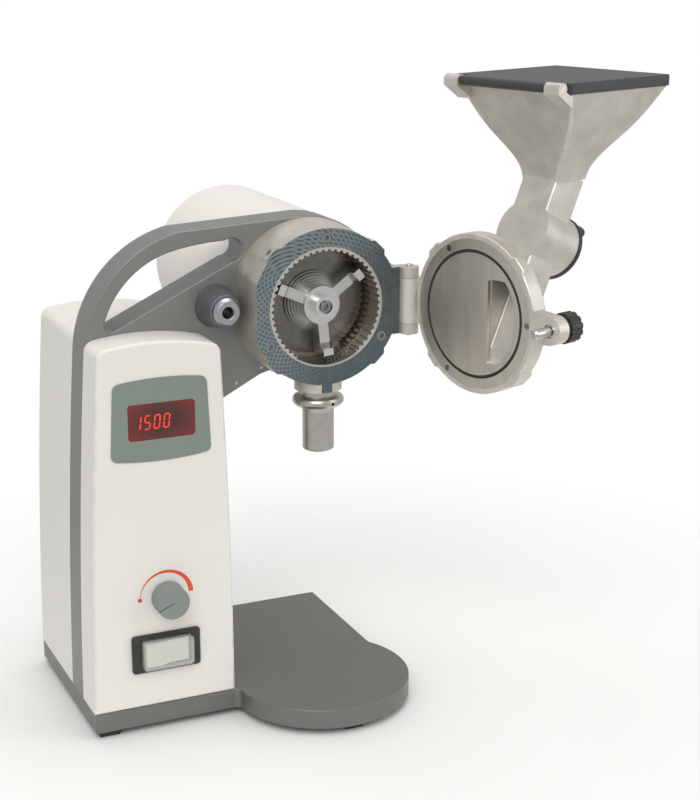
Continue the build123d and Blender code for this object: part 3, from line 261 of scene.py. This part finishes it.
# ---- rubber feet ----
# Four square rubber feet, moulded with a slight taper and pushed into the base by their pegs.
# Each is hollowed below, so that only its rim stands on the bench.

foot_top = 22 * mm
foot_height = 6 * mm
foot_taper = 0.745
foot_rim, foot_hollow = 2.2 * mm, 1.2 * mm
rubber, rubber_shader, rubber_place = new_finish("black_rubber", colour(38, 38, 36), 0.75)
rubber_grain = rubber_place.grain(0.8 * mm, 3)
rubber_grain.blend(colour(30, 30, 29), colour(52, 51, 48)).into(rubber_shader, "Base Color")
rubber_grain.between(0.3, 0.7, 0.6, 0.85).into(rubber_shader, "Roughness")
rubber_grain.relief(rubber_shader, 0.03 * mm)


rotor_axis = Vector(next(joint["pos_m"] for joint in frame["joints"]
                         if joint["name"] == "rotor_spin"))


def spot(x, depth, z):
    """A place: millimetres right of the rotor axis, before the stand plate, and above the table."""
    return Vector((rotor_axis.x + x * mm, rotor_axis.y - depth * mm, z * mm))


def select_faces(piece, chosen):
    """In edit mode: selects only the chosen faces."""
    bpy.ops.mesh.select_mode(type="FACE")
    bpy.ops.mesh.select_all(action="DESELECT")
    mesh = bmesh.from_edit_mesh(piece.data)
    for face in mesh.faces:
        face.select_set(bool(chosen(face)))
    bmesh.update_edit_mesh(piece.data)


def pull(x, y, z):
    """In edit mode: draws the selected faces out by so much, and turns all faces outwards."""
    bpy.ops.mesh.extrude_region_move(TRANSFORM_OT_translate={"value": (x, y, z)})
    bpy.ops.mesh.select_all(action="SELECT")
    bpy.ops.mesh.normals_make_consistent(inside=False)


def new_piece(name, add, **settings):
    """A piece started from one of Blender's primitives, and left in edit mode."""
    bpy.ops.object.select_all(action="DESELECT")
    add(**settings)
    piece = bpy.context.object
    piece.name = name
    bpy.ops.object.mode_set(mode="EDIT")
    return piece


def place_mesh(piece):
    """Leaves edit mode and puts the piece's place in its mesh, its object at the origin."""
    bpy.ops.object.mode_set(mode="OBJECT")
    select_only(piece)
    bpy.ops.object.transform_apply(location=True, rotation=True, scale=True)


def copy_of(piece, name, move):
    """A copy with its own mesh, moved by so much."""
    twin = piece.copy()
    twin.data = piece.data.copy()
    twin.name = name
    bpy.context.scene.collection.objects.link(twin)
    twin.data.transform(Matrix.Translation(move))
    return twin


foot = new_piece("rubber_foot_1", bpy.ops.mesh.primitive_cube_add, size=foot_top,
                 location=(0, 0, foot_top / 2))
bpy.ops.transform.resize(value=(1, 1, foot_height / foot_top), center_override=(0, 0, 0))
select_faces(foot, lambda face: face.normal.z < -0.5)
bpy.ops.transform.resize(value=(foot_taper, foot_taper, 1))
bpy.ops.mesh.inset(thickness=foot_rim)
pull(0, 0, foot_hollow)
place_mesh(foot)
apply_modifier(foot, "BEVEL", width=0.6 * mm, segments=3, limit_method="ANGLE")
smooth(foot)
foot_places = ((-195.5, 24.8), (-2.4, 96.0), (50.5, -126.5), (-195.5, -126.5))
feet = [foot]
for x, depth in foot_places[1:]:
    feet.append(copy_of(foot, "rubber_foot_" + str(len(feet) + 1), spot(x, depth, 0)))
foot.data.transform(Matrix.Translation(spot(*foot_places[0], 0)))
for made in feet:
    settle(made, "stand", "rubber_feet", "rubber", rubber)


# ---- stand plate ----
# One thick plate makes the column, the loop handle and the round head. It is sawn from
# aluminium, its edges broken, and grey anodised. Two steel pins sit low beside the chamber.

dress("stand_plate", plate_finish)

steel = colour(196, 193, 186)


def turned(name, base, roughness, centre, axis, pitch=0.35 * mm, depth=0.004 * mm):
    """Turned metal: fine rings about an axis through a centre, and a little staining."""
    material, shader, place = new_finish(name, base, roughness, metal=1.0)
    seen = place.moved(centre, Vector((0, 0, 1)).rotation_difference(axis).inverted().to_euler())
    x, y, z = seen.part(0), seen.part(1), seen.part(2)
    radius = (x * x + y * y) ** 0.5
    rings = ((radius + z) * (2 * pi / pitch)).sine() * 0.5 + 0.5
    stain = place.grain(6 * mm, 3)
    (rings * 0.3 + stain * 0.7).blend(shade(base, 0.86), shade(base, 1.12)).into(
        shader, "Base Color")
    (rings * 0.06 + stain * 0.12 + (roughness - 0.09)).into(shader, "Roughness")
    rings.relief(shader, depth)
    return material


bright_steel = turned("bright_steel", steel, 0.24, rotor_axis, Vector((0, 1, 0)))
dress("plate_pins", bright_steel, edge=0.25 * mm)


# ---- clamp boss and its insert ----
# A turned boss screwed to the plate from behind, anodised with it, and the bare steel
# insert in its end that takes the door's clamp screw.

clamp_reach, axis_height = 81.4, 353.3
boss_axis = spot(-clamp_reach, 0, axis_height)
dress("clamp_boss", anodised("grey_anodised_boss", colour(112, 114, 117)), edge=0.3 * mm)
insert_finish = turned("turned_insert", colour(176, 178, 180), 0.3, boss_axis, Vector((0, 1, 0)))
# The insert's broken edges take a brighter steel than its body: a painted highlight on real turned
# edges.
insert_painted_edge_highlight = turned("turned_edge_painted_highlight", colour(225, 224, 220), 0.2, boss_axis,
                    Vector((0, 1, 0)))
dress("clamp_insert", insert_finish, insert_painted_edge_highlight, edge=0.35 * mm, edge_finish=1)


# ---- front and rear housings ----
# Two moulded shells bolted to the base from below, one on each side of the plate. They are
# sprayed off-white with a fine even texture.

def sprayed(name, base):
    """Off-white structure paint: close low bumps, hardly any change of colour."""
    material, shader, place = new_finish(name, base, 0.42)
    bumps = place.grain(0.9 * mm, 2, 0.45)
    cloud = place.grain(60 * mm, 2)
    (bumps * 0.6 + cloud * 0.4).blend(shade(base, 0.955), shade(base, 1.03)).into(
        shader, "Base Color")
    (bumps * 0.16 + 0.36).into(shader, "Roughness")
    bumps.relief(shader, 0.035 * mm)
    return material


off_white = colour(233, 230, 223)
housing_finish = sprayed("off_white_structure_paint", off_white)
dress("front_housing", housing_finish)
dress("rear_housing", housing_finish)


# ---- display: foil panel, red window and digits ----
# A printed foil on a thin plate frames a dark red window. Four seven-segment digits shine
# through it. A thin dark line and a white line run round the foil's edge.

panel_depth = 37.0
panel_front = 37.8
panel_corner = 5.0
panel_lines = (0.9, 1.5)
window_middle, window_size = (-143.1, 37.5, 272.0), (57.0, 4.0, 30.6)


def arc_through(start, middle, end, count):
    """Points on the arc through three points, in millimetres."""
    (ax, ay), (bx, by), (cx, cy) = start, middle, end
    a, b, c = ax * ax + ay * ay, bx * bx + by * by, cx * cx + cy * cy
    twice = 2 * (ax * (by - cy) + bx * (cy - ay) + cx * (ay - by))
    centre = Vector(((a * (by - cy) + b * (cy - ay) + c * (ay - by)) / twice,
                     (a * (cx - bx) + b * (ax - cx) + c * (bx - ax)) / twice))
    first, last = Vector(start) - centre, Vector(end) - centre
    sweep = -first.angle_signed(last)
    return [tuple(centre + Matrix.Rotation(sweep * step / count, 2) @ first)
            for step in range(count + 1)]


def flat_outline(name, outline, depth):
    """A flat face with this outline, facing the front at a depth, left in edit mode."""
    piece = new_piece(name, bpy.ops.mesh.primitive_circle_add, vertices=len(outline),
                      radius=mm, fill_type="NGON")
    mesh = bmesh.from_edit_mesh(piece.data)
    for corner, (x, z) in zip(list(mesh.verts), outline):
        corner.co = spot(x, depth, z)
    mesh.normal_update()
    for face in mesh.faces:
        if face.normal.y > 0:
            face.normal_flip()
    bmesh.update_edit_mesh(piece.data)
    bpy.ops.mesh.select_all(action="SELECT")
    return piece


def give_finish(piece, chosen, index):
    """In edit mode: the chosen faces take the finish with this index."""
    mesh = bmesh.from_edit_mesh(piece.data)
    for face in mesh.faces:
        if chosen(face):
            face.material_index = index
    bmesh.update_edit_mesh(piece.data)


def printed(name, base, roughness=0.5):
    """Screen-printed ink: almost even, with the foil's fine matt grain under it."""
    material, shader, place = new_finish(name, base, roughness)
    matt = place.grain(0.35 * mm, 2)
    matt.blend(shade(base, 0.94), shade(base, 1.05)).into(shader, "Base Color")
    (matt * 0.12 + (roughness - 0.06)).into(shader, "Roughness")
    matt.relief(shader, 0.006 * mm)
    return material


field_ink = printed("grey_green_foil", colour(128, 138, 128))
line_ink = printed("dark_line_ink", colour(120, 120, 112))
white_ink = printed("white_line_ink", colour(232, 229, 221))

crest = arc_through((-183.3, 305), (-144, 308), (-104, 305), 24)
belly = arc_through((-101.3, 241.4), (-144, 238.2), (-186.7, 241.4), 24)
crest, belly = ([arc[0], *arc[3:-3], arc[-1]] for arc in (crest, belly))
panel = flat_outline("display_panel_plate", crest + belly, panel_front)
bpy.ops.mesh.select_mode(type="VERT")
bpy.ops.mesh.select_all(action="DESELECT")
mesh = bmesh.from_edit_mesh(panel.data)
mesh.verts.ensure_lookup_table()
for index in (0, len(crest) - 1, len(crest), len(crest + belly) - 1):
    mesh.verts[index].select_set(True)
bmesh.update_edit_mesh(panel.data)
bpy.ops.mesh.bevel(offset=panel_corner * mm, segments=8, affect="VERTICES")
bpy.ops.mesh.select_mode(type="FACE")
bpy.ops.mesh.select_all(action="SELECT")
pull(0, (panel_front - panel_depth) * mm, 0)
select_faces(panel, lambda face: face.normal.y < -0.5)
for index, width in ((1, panel_lines[0]), (2, panel_lines[1])):
    give_finish(panel, lambda face: face.select, index)
    bpy.ops.mesh.inset(thickness=width * mm)
give_finish(panel, lambda face: face.select, 0)
give_finish(panel, lambda face: abs(face.normal.y) < 0.5, 1)
place_mesh(panel)
opening = new_piece("window_cutter", bpy.ops.mesh.primitive_cube_add, size=mm,
                    location=spot(*window_middle))
bpy.ops.transform.resize(value=window_size, center_override=spot(*window_middle))
place_mesh(opening)
apply_modifier(panel, "BOOLEAN", operation="DIFFERENCE", object=opening, solver="EXACT")
bpy.data.objects.remove(opening)
settle(panel, "stand", "display_panel", "panel_foil", field_ink, line_ink, white_ink)

window_red, window_shader, window_place = new_finish("dark_red_window", colour(96, 26, 18), 0.16,
                                                     coat=0.6)
# Painted light: the window's red is painted darker in the middle and brighter towards its edges.
lit = spot(window_middle[0], panel_front, window_middle[2])
painted_light_width, painted_light_height = 34 * mm, 20 * mm
off_middle = window_place.moved(lit, stretch=(1 / painted_light_width, 0, 1 / painted_light_height))
across, up = off_middle.part(0), off_middle.part(2)
painted_rim_light = (across * across + up * up).between(0.15, 0.95)
painted_rim_light.blend(colour(66, 27, 18), colour(118, 26, 20)).into(window_shader, "Base Color")
window_place.grain(12 * mm).between(0.2, 0.8, 0.1, 0.2).into(window_shader, "Roughness")
dress("display_window", window_red, edge=0.3 * mm)

digit_glow, digit_shader, digit_place = new_finish("lit_segments", colour(230, 40, 30), 0.4)
stripes = (digit_place.part(0) * (2 * pi / (0.5 * mm))).sine() * 0.06 + 0.94
stripes.blend((0, 0, 0, 1), colour(255, 48, 34)).into(digit_shader, "Emission Color")
digit_shader.inputs["Emission Strength"].default_value = 0.85

digit_width, digit_height, digit_stroke, digit_slant = 4.4, 11.2, 1.1, 0.12
digit_left, digit_foot, digit_step = -166.0, 265.9, 8.1
digit_gap, print_height = 0.25, 0.06
display_front = panel_depth + 0.6
segments = {"a": (0, 2, 1, 2), "b": (1, 1, 1, 2), "c": (1, 0, 1, 1), "d": (0, 0, 1, 0),
            "e": (0, 0, 0, 1), "f": (0, 1, 0, 2), "g": (0, 1, 1, 1)}
shapes = {"1": "bc", "5": "acdfg", "0": "abcdef"}


def segment_bar(name, start, end):
    """One lit bar: a long hexagon between two places, just proud of the window."""
    along = (end - start).normalized()
    aside = Vector((-along.y, along.x)) * digit_stroke / 2
    first, last = start + along * digit_gap, end - along * digit_gap
    tip = along * digit_stroke / 2
    outline = [first, first + tip + aside, last - tip + aside, last, last - tip - aside,
               first + tip - aside]
    piece = flat_outline(name, outline, display_front + print_height)
    pull(0, 0.2 * mm, 0)
    place_mesh(piece)
    return piece


bars = []
for place, digit in enumerate("1500"):
    corner = Vector((digit_left + digit_step * place, digit_foot))
    for x0, z0, x1, z1 in (segments[key] for key in shapes[digit]):
        ends = [Vector((x * digit_width + z * digit_height / 2 * digit_slant,
                        z * digit_height / 2)) for x, z in ((x0, z0), (x1, z1))]
        bars.append(segment_bar("display_segment", corner + ends[0], corner + ends[1]))
bpy.ops.object.select_all(action="DESELECT")
for bar in bars:
    bar.select_set(True)
bpy.context.view_layer.objects.active = bars[0]
bpy.ops.object.join()
bars[0].name = "display_digits"
settle(bars[0], "stand", None, "display_glass", digit_glow)


# ---- speed knob and its printed scale ----
# A plain grey moulded knob on the potentiometer's shaft, with a sunk pointer line across its
# face and down its side, painted darker as shade in the groove. The scale is a printed orange-red
# arc that widens from a dot.

knob_x, knob_z = -143.0, 119.0
knob_middle = spot(knob_x, 0, knob_z)
pointer = radians(203)
pointer_half_width, pointer_start = 0.45 * mm, -0.5 * mm
knob_grey, knob_shader, knob_place = new_finish("grey_moulded_knob", colour(131, 138, 134), 0.5)
from_knob = knob_place.moved(knob_middle, (0, pointer, 0))
beside, outward = from_knob.part(2), from_knob.part(0)
# The pointer line is painted darker: painted shade in its sunk groove.
pointer_groove_painted_shade = ((beside * beside) < pointer_half_width ** 2) * (outward > pointer_start)
fine = knob_place.grain(0.5 * mm, 2)
plain = fine.blend(colour(124, 131, 127), colour(138, 145, 141))
pointer_groove_painted_shade.blend(plain, colour(84, 90, 88)).into(knob_shader, "Base Color")
(fine * 0.15 + 0.42).into(knob_shader, "Roughness")
fine.relief(knob_shader, 0.02 * mm)
dress("speed_knob", knob_grey, edge=0.25 * mm)

arc_steps, arc_sweep, arc_start_radius, arc_narrowing = 48, 176, 23.6, 2.6
arc_start_half, arc_growth = 0.12, 2.05
dot_radius = 1.9
scale_red = printed("orange_red_ink", colour(228, 82, 46), 0.45)
inner, outer = [], []
for step in range(arc_steps + 1):
    share = step / arc_steps
    angle = radians(180 - arc_sweep * share)
    middle_radius = arc_start_radius - arc_narrowing * share
    half = arc_start_half + arc_growth * share ** 0.9
    for line, radius in ((outer, middle_radius + half), (inner, middle_radius - half)):
        line.append((knob_x + radius * cos(angle), knob_z + radius * sin(angle)))
dot = [(knob_x - arc_start_radius + dot_radius * cos(radians(15 * step)),
        knob_z + dot_radius * sin(radians(15 * step))) for step in range(24)]
for name, outline in (("scale_arc", outer + inner[::-1]), ("scale_dot", dot)):
    mark = flat_outline(name, outline, panel_depth + print_height)
    pull(0, 0.1 * mm, 0)
    place_mesh(mark)
    settle(mark, "stand", None, "panel_foil", scale_red)


# ---- mains switch ----
# A rocker switch clipped into the housing: a black bevelled frame, a white rocker, and a
# clear cover that keeps dust out.

def moulded(name, base, roughness, size=0.4 * mm, coat=0.0):
    """Moulded plastic with the faint grain of its tool."""
    material, shader, place = new_finish(name, base, roughness, coat=coat)
    tool_grain = place.grain(size, 3)
    tool_grain.blend(shade(base, 0.86), shade(base, 1.16)).into(shader, "Base Color")
    (tool_grain * 0.16 + (roughness - 0.08)).into(shader, "Roughness")
    tool_grain.relief(shader, 0.02 * mm)
    return material


black_plastic = moulded("black_moulded_plastic", colour(44, 44, 42), 0.42)
rocker_white = moulded("white_rocker", colour(236, 234, 228), 0.28)
dress("switch_frame", black_plastic, edge=0.3 * mm)
dress("switch_rocker", rocker_white, edge=0.5 * mm, segments=3)
clear, clear_shader, clear_place = new_finish("clear_soft_cover", colour(225, 226, 220), 0.12)
clear_place.grain(5 * mm).between(0.2, 0.8, 0.08, 0.2).into(clear_shader, "Roughness")
clear_shader.inputs["Alpha"].default_value = 0.3
dress("switch_cover", clear)
for node in ("switch_body", "potentiometer", "power_module"):
    coat_solid(node, black_plastic)
coat_solid("knob_shaft", bright_steel)


# ---- boards behind the front housing ----
# The display board and the control board are glass-fibre boards with a green resist. They are
# hidden once the housing is on.

resist, resist_shader, resist_place = new_finish("green_board", colour(34, 84, 50), 0.35)
tracks = resist_place.cells(3 * mm)
tracks.blend(colour(28, 76, 44), colour(64, 112, 66)).into(resist_shader, "Base Color")
tracks.relief(resist_shader, 0.03 * mm)
for node in ("display_board", "control_board"):
    coat_solid(node, resist)


# ---- mains inlet and fuse holder ----
# Both are moulded in black and clipped into the rear housing, the fuse above the inlet. No
# lead is plugged in.

dress("mains_inlet", black_plastic, edge=0.25 * mm)
dress("fuse_holder", black_plastic, edge=0.3 * mm)


# ---- motor: cover, end shields, field and armature ----
# A drawn cover painted like the housings closes the motor behind the plate's head. Inside are
# two cast shields, a laminated field with its coils, the armature and its brushes.

dress("motor_housing", sprayed("off_white_motor_paint", off_white))


def cast(name, base, roughness=0.45, pits=0.5):
    """Blasted aluminium casting: fine matt grain over soft clouds, a few darker pits."""
    material, shader, place = new_finish(name, base, roughness, metal=0.65)
    grit = place.grain(0.55 * mm, 3, 0.6)
    cloud = place.grain(18 * mm, 3)
    pit = place.grain(2.2 * mm, 2).between(0.3, 0.42)
    tint = (grit * 0.5 + cloud * 0.5).between(0.3, 0.7) * (pit * pits + (1 - pits))
    tint.blend(shade(base, 0.78), shade(base, 1.16)).into(shader, "Base Color")
    (grit * 0.14 + cloud * 0.1 + (roughness - 0.12)).into(shader, "Roughness")
    grit.relief(shader, 0.03 * mm)
    return material


shield_metal = cast("cast_shield", colour(186, 184, 178))
laminated, laminated_shader, laminated_place = new_finish("laminated_core", colour(96, 94, 92),
                                                          0.5, metal=0.7)
sheets = (laminated_place.part(1) * (2 * pi / (0.5 * mm))).sine() * 0.5 + 0.5
sheets.blend(colour(74, 72, 70), colour(116, 114, 110)).into(laminated_shader, "Base Color")
sheets.relief(laminated_shader, 0.03 * mm)
wound, wound_shader, wound_place = new_finish("enamelled_copper", colour(150, 78, 40), 0.35,
                                              metal=0.8)
wires = (wound_place.part(2) * (2 * pi / (0.9 * mm))).sine() * 0.5 + 0.5
wires.blend(colour(112, 52, 26), colour(178, 98, 52)).into(wound_shader, "Base Color")
wires.relief(wound_shader, 0.2 * mm)
carbon = moulded("pressed_carbon", colour(40, 40, 42), 0.6)
for made, finish in (("front_shield", shield_metal), ("rear_shield", shield_metal),
                     ("stator_core", laminated), ("armature", laminated),
                     ("field_coils", wound), ("commutator", wound), ("carbon_brushes", carbon),
                     ("cooling_fan", black_plastic), ("motor_shaft", bright_steel),
                     ("bearings", bright_steel), ("motor_screws", bright_steel),
                     ("stand_screws", bright_steel), ("housing_screws", bright_steel),
                     ("shaft_seal", rubber)):
    coat_solid(made, finish)


# ---- grinding chamber ----
# An aluminium casting with four corner pads, its face fly-cut flat: the cutter's wide arcs
# cross each other. The outside stays as cast. Bright socket screws hold it to the plate.

face_depth = 44.0
cutter_centres, cutter_feed = ((-34 * mm, 26 * mm), (-12 * mm, -50 * mm)), 3.4 * mm
chamber_cast = cast("warm_grey_casting", colour(204, 199, 188))


def fly_cut(name, base, centre, outward, roughness=0.3):
    """A face cut flat by a turning cutter: wide crossing arcs, dark and bluish, with a painted
    sheen on the arcs towards the left.
    """
    material, shader, place = new_finish(name, base, roughness, metal=0.9)
    turn = Vector((0, 0, 1)).rotation_difference(outward).inverted().to_euler()
    seen = place.moved(centre, turn)
    across, up = seen.part(0), seen.part(1)
    cuts = []
    for aside, raised in cutter_centres:
        off_x, off_y = across - aside, up - raised
        reach = (off_x * off_x + off_y * off_y) ** 0.5
        cuts.append((reach * (2 * pi / cutter_feed)).sine() * 0.5 + 0.5)
    crossing = cuts[0].maths("MAXIMUM", cuts[0], cuts[1]) ** 2.0
    # Painted sheen: the cutter's arcs are real, but they are painted bright on the left of the face
    # and fade to faint on the right.
    painted_sheen_side = (up * 0.6 - across).between(-0.03, 0.02)
    cut_arcs_painted_sheen = crossing * (painted_sheen_side * 0.85 + 0.15)
    stain = place.grain(9 * mm, 3)
    tint = cut_arcs_painted_sheen * 0.7 + stain * 0.3
    tint.blend(shade(base, 0.5), shade(base, 1.7)).into(shader, "Base Color")
    (stain * 0.12 + cut_arcs_painted_sheen * 0.1 + (roughness - 0.08)).into(shader, "Roughness")
    cut_arcs_painted_sheen.relief(shader, 0.01 * mm)
    return material


chamber_face = fly_cut("fly_cut_face", colour(120, 130, 132), spot(0, face_depth, axis_height),
                       Vector((0, -1, 0)))
# The chamber's and the screws' broken edges take a brighter steel than their faces: a painted
# highlight on real machined edges.
painted_edge_highlight = turned("broken_edge_painted_highlight", colour(214, 212, 206), 0.25, rotor_axis,
                     Vector((0, 1, 0)))
housing = dress("chamber_housing", chamber_cast, chamber_face, painted_edge_highlight, edge=0.35 * mm,
                edge_finish=2)
for face in housing.data.polygons:
    off_face = abs(face.center.y - spot(0, face_depth, 0).y)
    if face.material_index == 0 and face.normal.y < -0.99 and off_face < 0.05 * mm:
        face.material_index = 1
socket_steel = turned("socket_screw_steel", colour(150, 152, 154), 0.25, rotor_axis,
                      Vector((0, 1, 0)), depth=0.002 * mm)
dress("chamber_screws", socket_steel, painted_edge_highlight, edge=0.3 * mm, edge_finish=1)
dress("insert_lock_screw", socket_steel, edge=0.15 * mm)


# ---- grinding insert and sieve ----
# A hardened ring with two rows of scalloped teeth, open below, where a thin sheet with
# slanted slots closes the ring. Light steel, tinted bronze deep inside.

insert_steel, insert_shader, insert_place = new_finish("hardened_insert", colour(196, 190, 178),
                                                       0.3, metal=0.9)
deep = insert_place.part(1).between(rotor_axis.y - 44 * mm, rotor_axis.y - 10 * mm)
speck = insert_place.grain(0.8 * mm, 3)
(deep * 0.75 + speck * 0.25).blend(colour(222, 218, 208), colour(134, 112, 84)).into(
    insert_shader, "Base Color")
(speck * 0.15 + 0.22).into(insert_shader, "Roughness")
speck.relief(insert_shader, 0.01 * mm)
coat_solid("grinding_insert", insert_steel)
sieve_steel, sieve_shader, sieve_place = new_finish("sieve_sheet", colour(206, 203, 196), 0.25,
                                                    metal=0.95)
rolled = sieve_place.moved(stretch=(1, 8, 1)).grain(4 * mm, 3)
rolled.blend(colour(186, 183, 176), colour(222, 219, 212)).into(sieve_shader, "Base Color")
(rolled * 0.15 + 0.18).into(sieve_shader, "Roughness")
dress("sieve", sieve_steel)


# ---- rotor and its screw ----
# One turned and milled steel rotor: a mirror-bright back plate, a stepped cone with cutter
# grooves, three flat arms with broken edges, and a bored nose for the socket screw.

rotor_steel, rotor_shader, rotor_place = new_finish("turned_rotor_steel", steel, 0.2, metal=1.0)
from_axis = rotor_place.moved(rotor_axis)
rotor_x, rotor_z = from_axis.part(0), from_axis.part(2)
rotor_radius = (rotor_x * rotor_x + rotor_z * rotor_z) ** 0.5
cutter = (rotor_radius * (2 * pi / (1.1 * mm))).sine() * 0.5 + 0.5
# Painted dark reflection: the steel is painted dark at the back plate and the deep steps and light
# towards the nose; the rings and stains are real.
painted_dark_reflection_falloff = from_axis.part(1).between(-35 * mm, -14 * mm, 1, 0)
tint = painted_dark_reflection_falloff * 0.75 + cutter * 0.1 + rotor_place.grain(5 * mm, 3) * 0.15
tint.blend(colour(84, 81, 77), colour(232, 231, 228)).into(rotor_shader, "Base Color")
(cutter * 0.08 + 0.16).into(rotor_shader, "Roughness")
cutter.relief(rotor_shader, 0.02 * mm)
# The arms' broken edges take a brighter steel: a painted highlight on real broken edges.
rotor_painted_edge_highlight = turned("rotor_edge_painted_highlight", colour(236, 235, 232), 0.14, rotor_axis,
                    Vector((0, 1, 0)))
dress("grinding_rotor", rotor_steel, rotor_painted_edge_highlight, edge=0.35 * mm, edge_finish=1, join=False)
dress("rotor_screw", socket_steel, painted_edge_highlight, edge=0.25 * mm, edge_finish=1)


# ---- outlet spigot ----
# A turned tube with a rolled flange, pressed into the collar under the chamber. The ground
# sample falls through it.

outlet_depth = 24.5
outlet_axis = spot(0, outlet_depth, 260)
dress("outlet_spigot", turned("turned_spigot", colour(192, 189, 182), 0.28, outlet_axis,
                              Vector((0, 0, 1)), pitch=0.5 * mm))


# ---- hinge pin ----
# A ground pin with broken ends, pressed through the chamber's two lugs. The door turns
# on it.

hinge_middle = Vector(next(joint["pos_m"] for joint in frame["joints"]
                           if joint["name"] == "door_swing"))
dress("hinge_pin", turned("ground_pin", colour(206, 204, 198), 0.22, hinge_middle,
                          Vector((0, 0, 1))))


# ---- door: casting, sealing disc and ring ----
# The door is cast like the chamber and swings on the pin. A turned steel disc with a rubber
# ring in its groove faces the chamber; three small slotted screws hold it.

door_swung = radians(107.65)
hinge_reach = 75.3
door_out = Vector((sin(door_swung), -cos(door_swung), 0))
door_across = Vector((cos(door_swung), sin(door_swung), 0))
door_middle = hinge_middle - door_across * hinge_reach * mm
door_cast = cast("light_warm_casting", colour(222, 217, 207))
dress("door_casting", door_cast, edge=0.3 * mm)


def polished(name, base, roughness=0.2):
    """Fine-ground sheet: soft upright streaks in the polish and a few faint rubs."""
    material, shader, place = new_finish(name, base, roughness, metal=0.95)
    streak = place.moved(stretch=(1, 1, 0.12)).grain(7 * mm, 3)
    rub = place.grain(0.9 * mm, 3)
    (streak * 0.8 + rub * 0.2).blend(shade(base, 0.82), shade(base, 1.14)).into(
        shader, "Base Color")
    (streak * 0.14 + rub * 0.06 + (roughness - 0.1)).into(shader, "Roughness")
    return material


dress("door_disc", polished("polished_disc", colour(216, 209, 198), 0.34), edge=0.2 * mm)
dress("door_seal", rubber)
dress("disc_screws", socket_steel, edge=0.12 * mm)


# ---- feed hopper ----
# A cast funnel, narrowing to a neck, with the leaning duct and the valve's body in one piece.
# Two lugs on its rim carry the lid's pin.

hopper_cast = cast("hopper_casting", colour(210, 205, 195), 0.4)
dress("feed_hopper", hopper_cast, edge=0.5 * mm, segments=3)
coat_solid("lid_pin", bright_steel)


# ---- hopper lid ----
# A thick dark lid, moulded, with a finely grained top and rounded edges. It turns up on a pin
# between two lugs.

lid_dark, lid_shader, lid_place = new_finish("dark_moulded_lid", colour(52, 55, 52), 0.45)
lid_grain = lid_place.grain(0.5 * mm, 3)
lid_grain.blend(colour(46, 49, 46), colour(60, 63, 60)).into(lid_shader, "Base Color")
(lid_grain * 0.2 + 0.38).into(lid_shader, "Roughness")
lid_grain.relief(lid_shader, 0.03 * mm)
dress("hopper_lid", lid_dark, edge=1.2 * mm, segments=3)


# ---- dosing valve ----
# A black moulded drum turns in the valve's body and sets how much falls through. Its round
# knob has a grip bar across it.

dress("dosing_knob", black_plastic, edge=0.5 * mm)
coat_solid("dosing_drum", black_plastic)


# ---- clamp screw, ring and knob ----
# A turned screw held in the door's lug by a snap ring, with a black fluted knob. It goes into
# the boss's insert and keeps the door shut.

clamp_middle = door_middle - door_across * clamp_reach * mm
screw_steel = turned("turned_clamp_screw", colour(204, 203, 198), 0.22, clamp_middle, door_out)
dress("clamp_screw", screw_steel)
dress("clamp_ring", screw_steel, edge=0.1 * mm)
dress("clamp_knob", black_plastic, edge=0.4 * mm)


# ---- table, light and camera ----
# The mill stands on a pale table in soft studio light: a wide soft lamp from the upper left
# and front, weaker ones from the right and above, and a white surround. The table fades out
# into the surround, so that it keeps only the shadow.

bpy.ops.mesh.primitive_plane_add(size=14, location=(0, 0, 0))
table = bpy.context.object
table.name = "table_top"
table_white, table_shader, table_place = new_finish("pale_table", colour(247, 247, 245), 0.7)
table_place.grain(0.2).blend(colour(246, 246, 244), colour(249, 249, 247)).into(
    table_shader, "Base Color")
off_x, off_y = table_place.part(0), table_place.part(1)
fade_start, fade_end = 0.28, 0.62
from_middle = (off_x * off_x + off_y * off_y) ** 0.5
from_middle.between(fade_start, fade_end, 1, 0).into(table_shader, "Alpha")
table.data.materials.append(table_white)
world = bpy.data.worlds.new("white_room")
bpy.context.scene.world = world
world.use_nodes = True
tree = world.node_tree
tree.nodes.clear()
surround_light, surround_seen = 0.62, 1.0
whites = []
for strength in (surround_light, surround_seen):
    white = tree.nodes.new("ShaderNodeBackground")
    white.inputs["Color"].default_value = (1, 1, 1, 1)
    white.inputs["Strength"].default_value = strength
    whites.append(white)
rays = tree.nodes.new("ShaderNodeLightPath")
choice = tree.nodes.new("ShaderNodeMixShader")
target = tree.nodes.new("ShaderNodeOutputWorld")
straight, through = (Tone(rays.outputs[kind])
                     for kind in ("Is Camera Ray", "Is Transmission Ray"))
looked_at = straight.maths("MAXIMUM", straight, through)
for socket, source in enumerate((looked_at.socket, *(white.outputs[0] for white in whites))):
    tree.links.new(source, choice.inputs[socket])
tree.links.new(choice.outputs[0], target.inputs[0])


def soft_lamp(name, place, aim, size, power):
    """A square soft lamp at a place, turned to face another, with its side and its watts."""
    data = bpy.data.lights.new(name, "AREA")
    data.shape = "SQUARE"
    data.size = size
    data.energy = power
    lamp = bpy.data.objects.new(name, data)
    bpy.context.scene.collection.objects.link(lamp)
    lamp.location = place
    lamp.rotation_euler = (Vector(aim) - Vector(place)).to_track_quat("-Z", "Y").to_euler()


middle = (0, 0, 0.27)
soft_lamp("main_light", (-0.9, -1.5, 1.7), middle, size=1.4, power=18)
soft_lamp("fill_light", (1.6, -1.2, 0.9), middle, size=1.2, power=7)
soft_lamp("top_light", (0.1, 0.2, 2.0), middle, size=1.2, power=9)

bpy.context.scene.view_settings.view_transform = "Standard"
lens = bpy.data.cameras.new("camera")
lens.lens = 75.62
lens.sensor_width = 36
camera = bpy.data.objects.new("camera", lens)
bpy.context.scene.collection.objects.link(camera)
camera_tilt, camera_turn = radians(74.21), radians(-24.34)
camera.location = (-0.5583, -1.2858, 0.6571)
camera.rotation_euler = (camera_tilt, 0, camera_turn)
bpy.context.scene.camera = camera
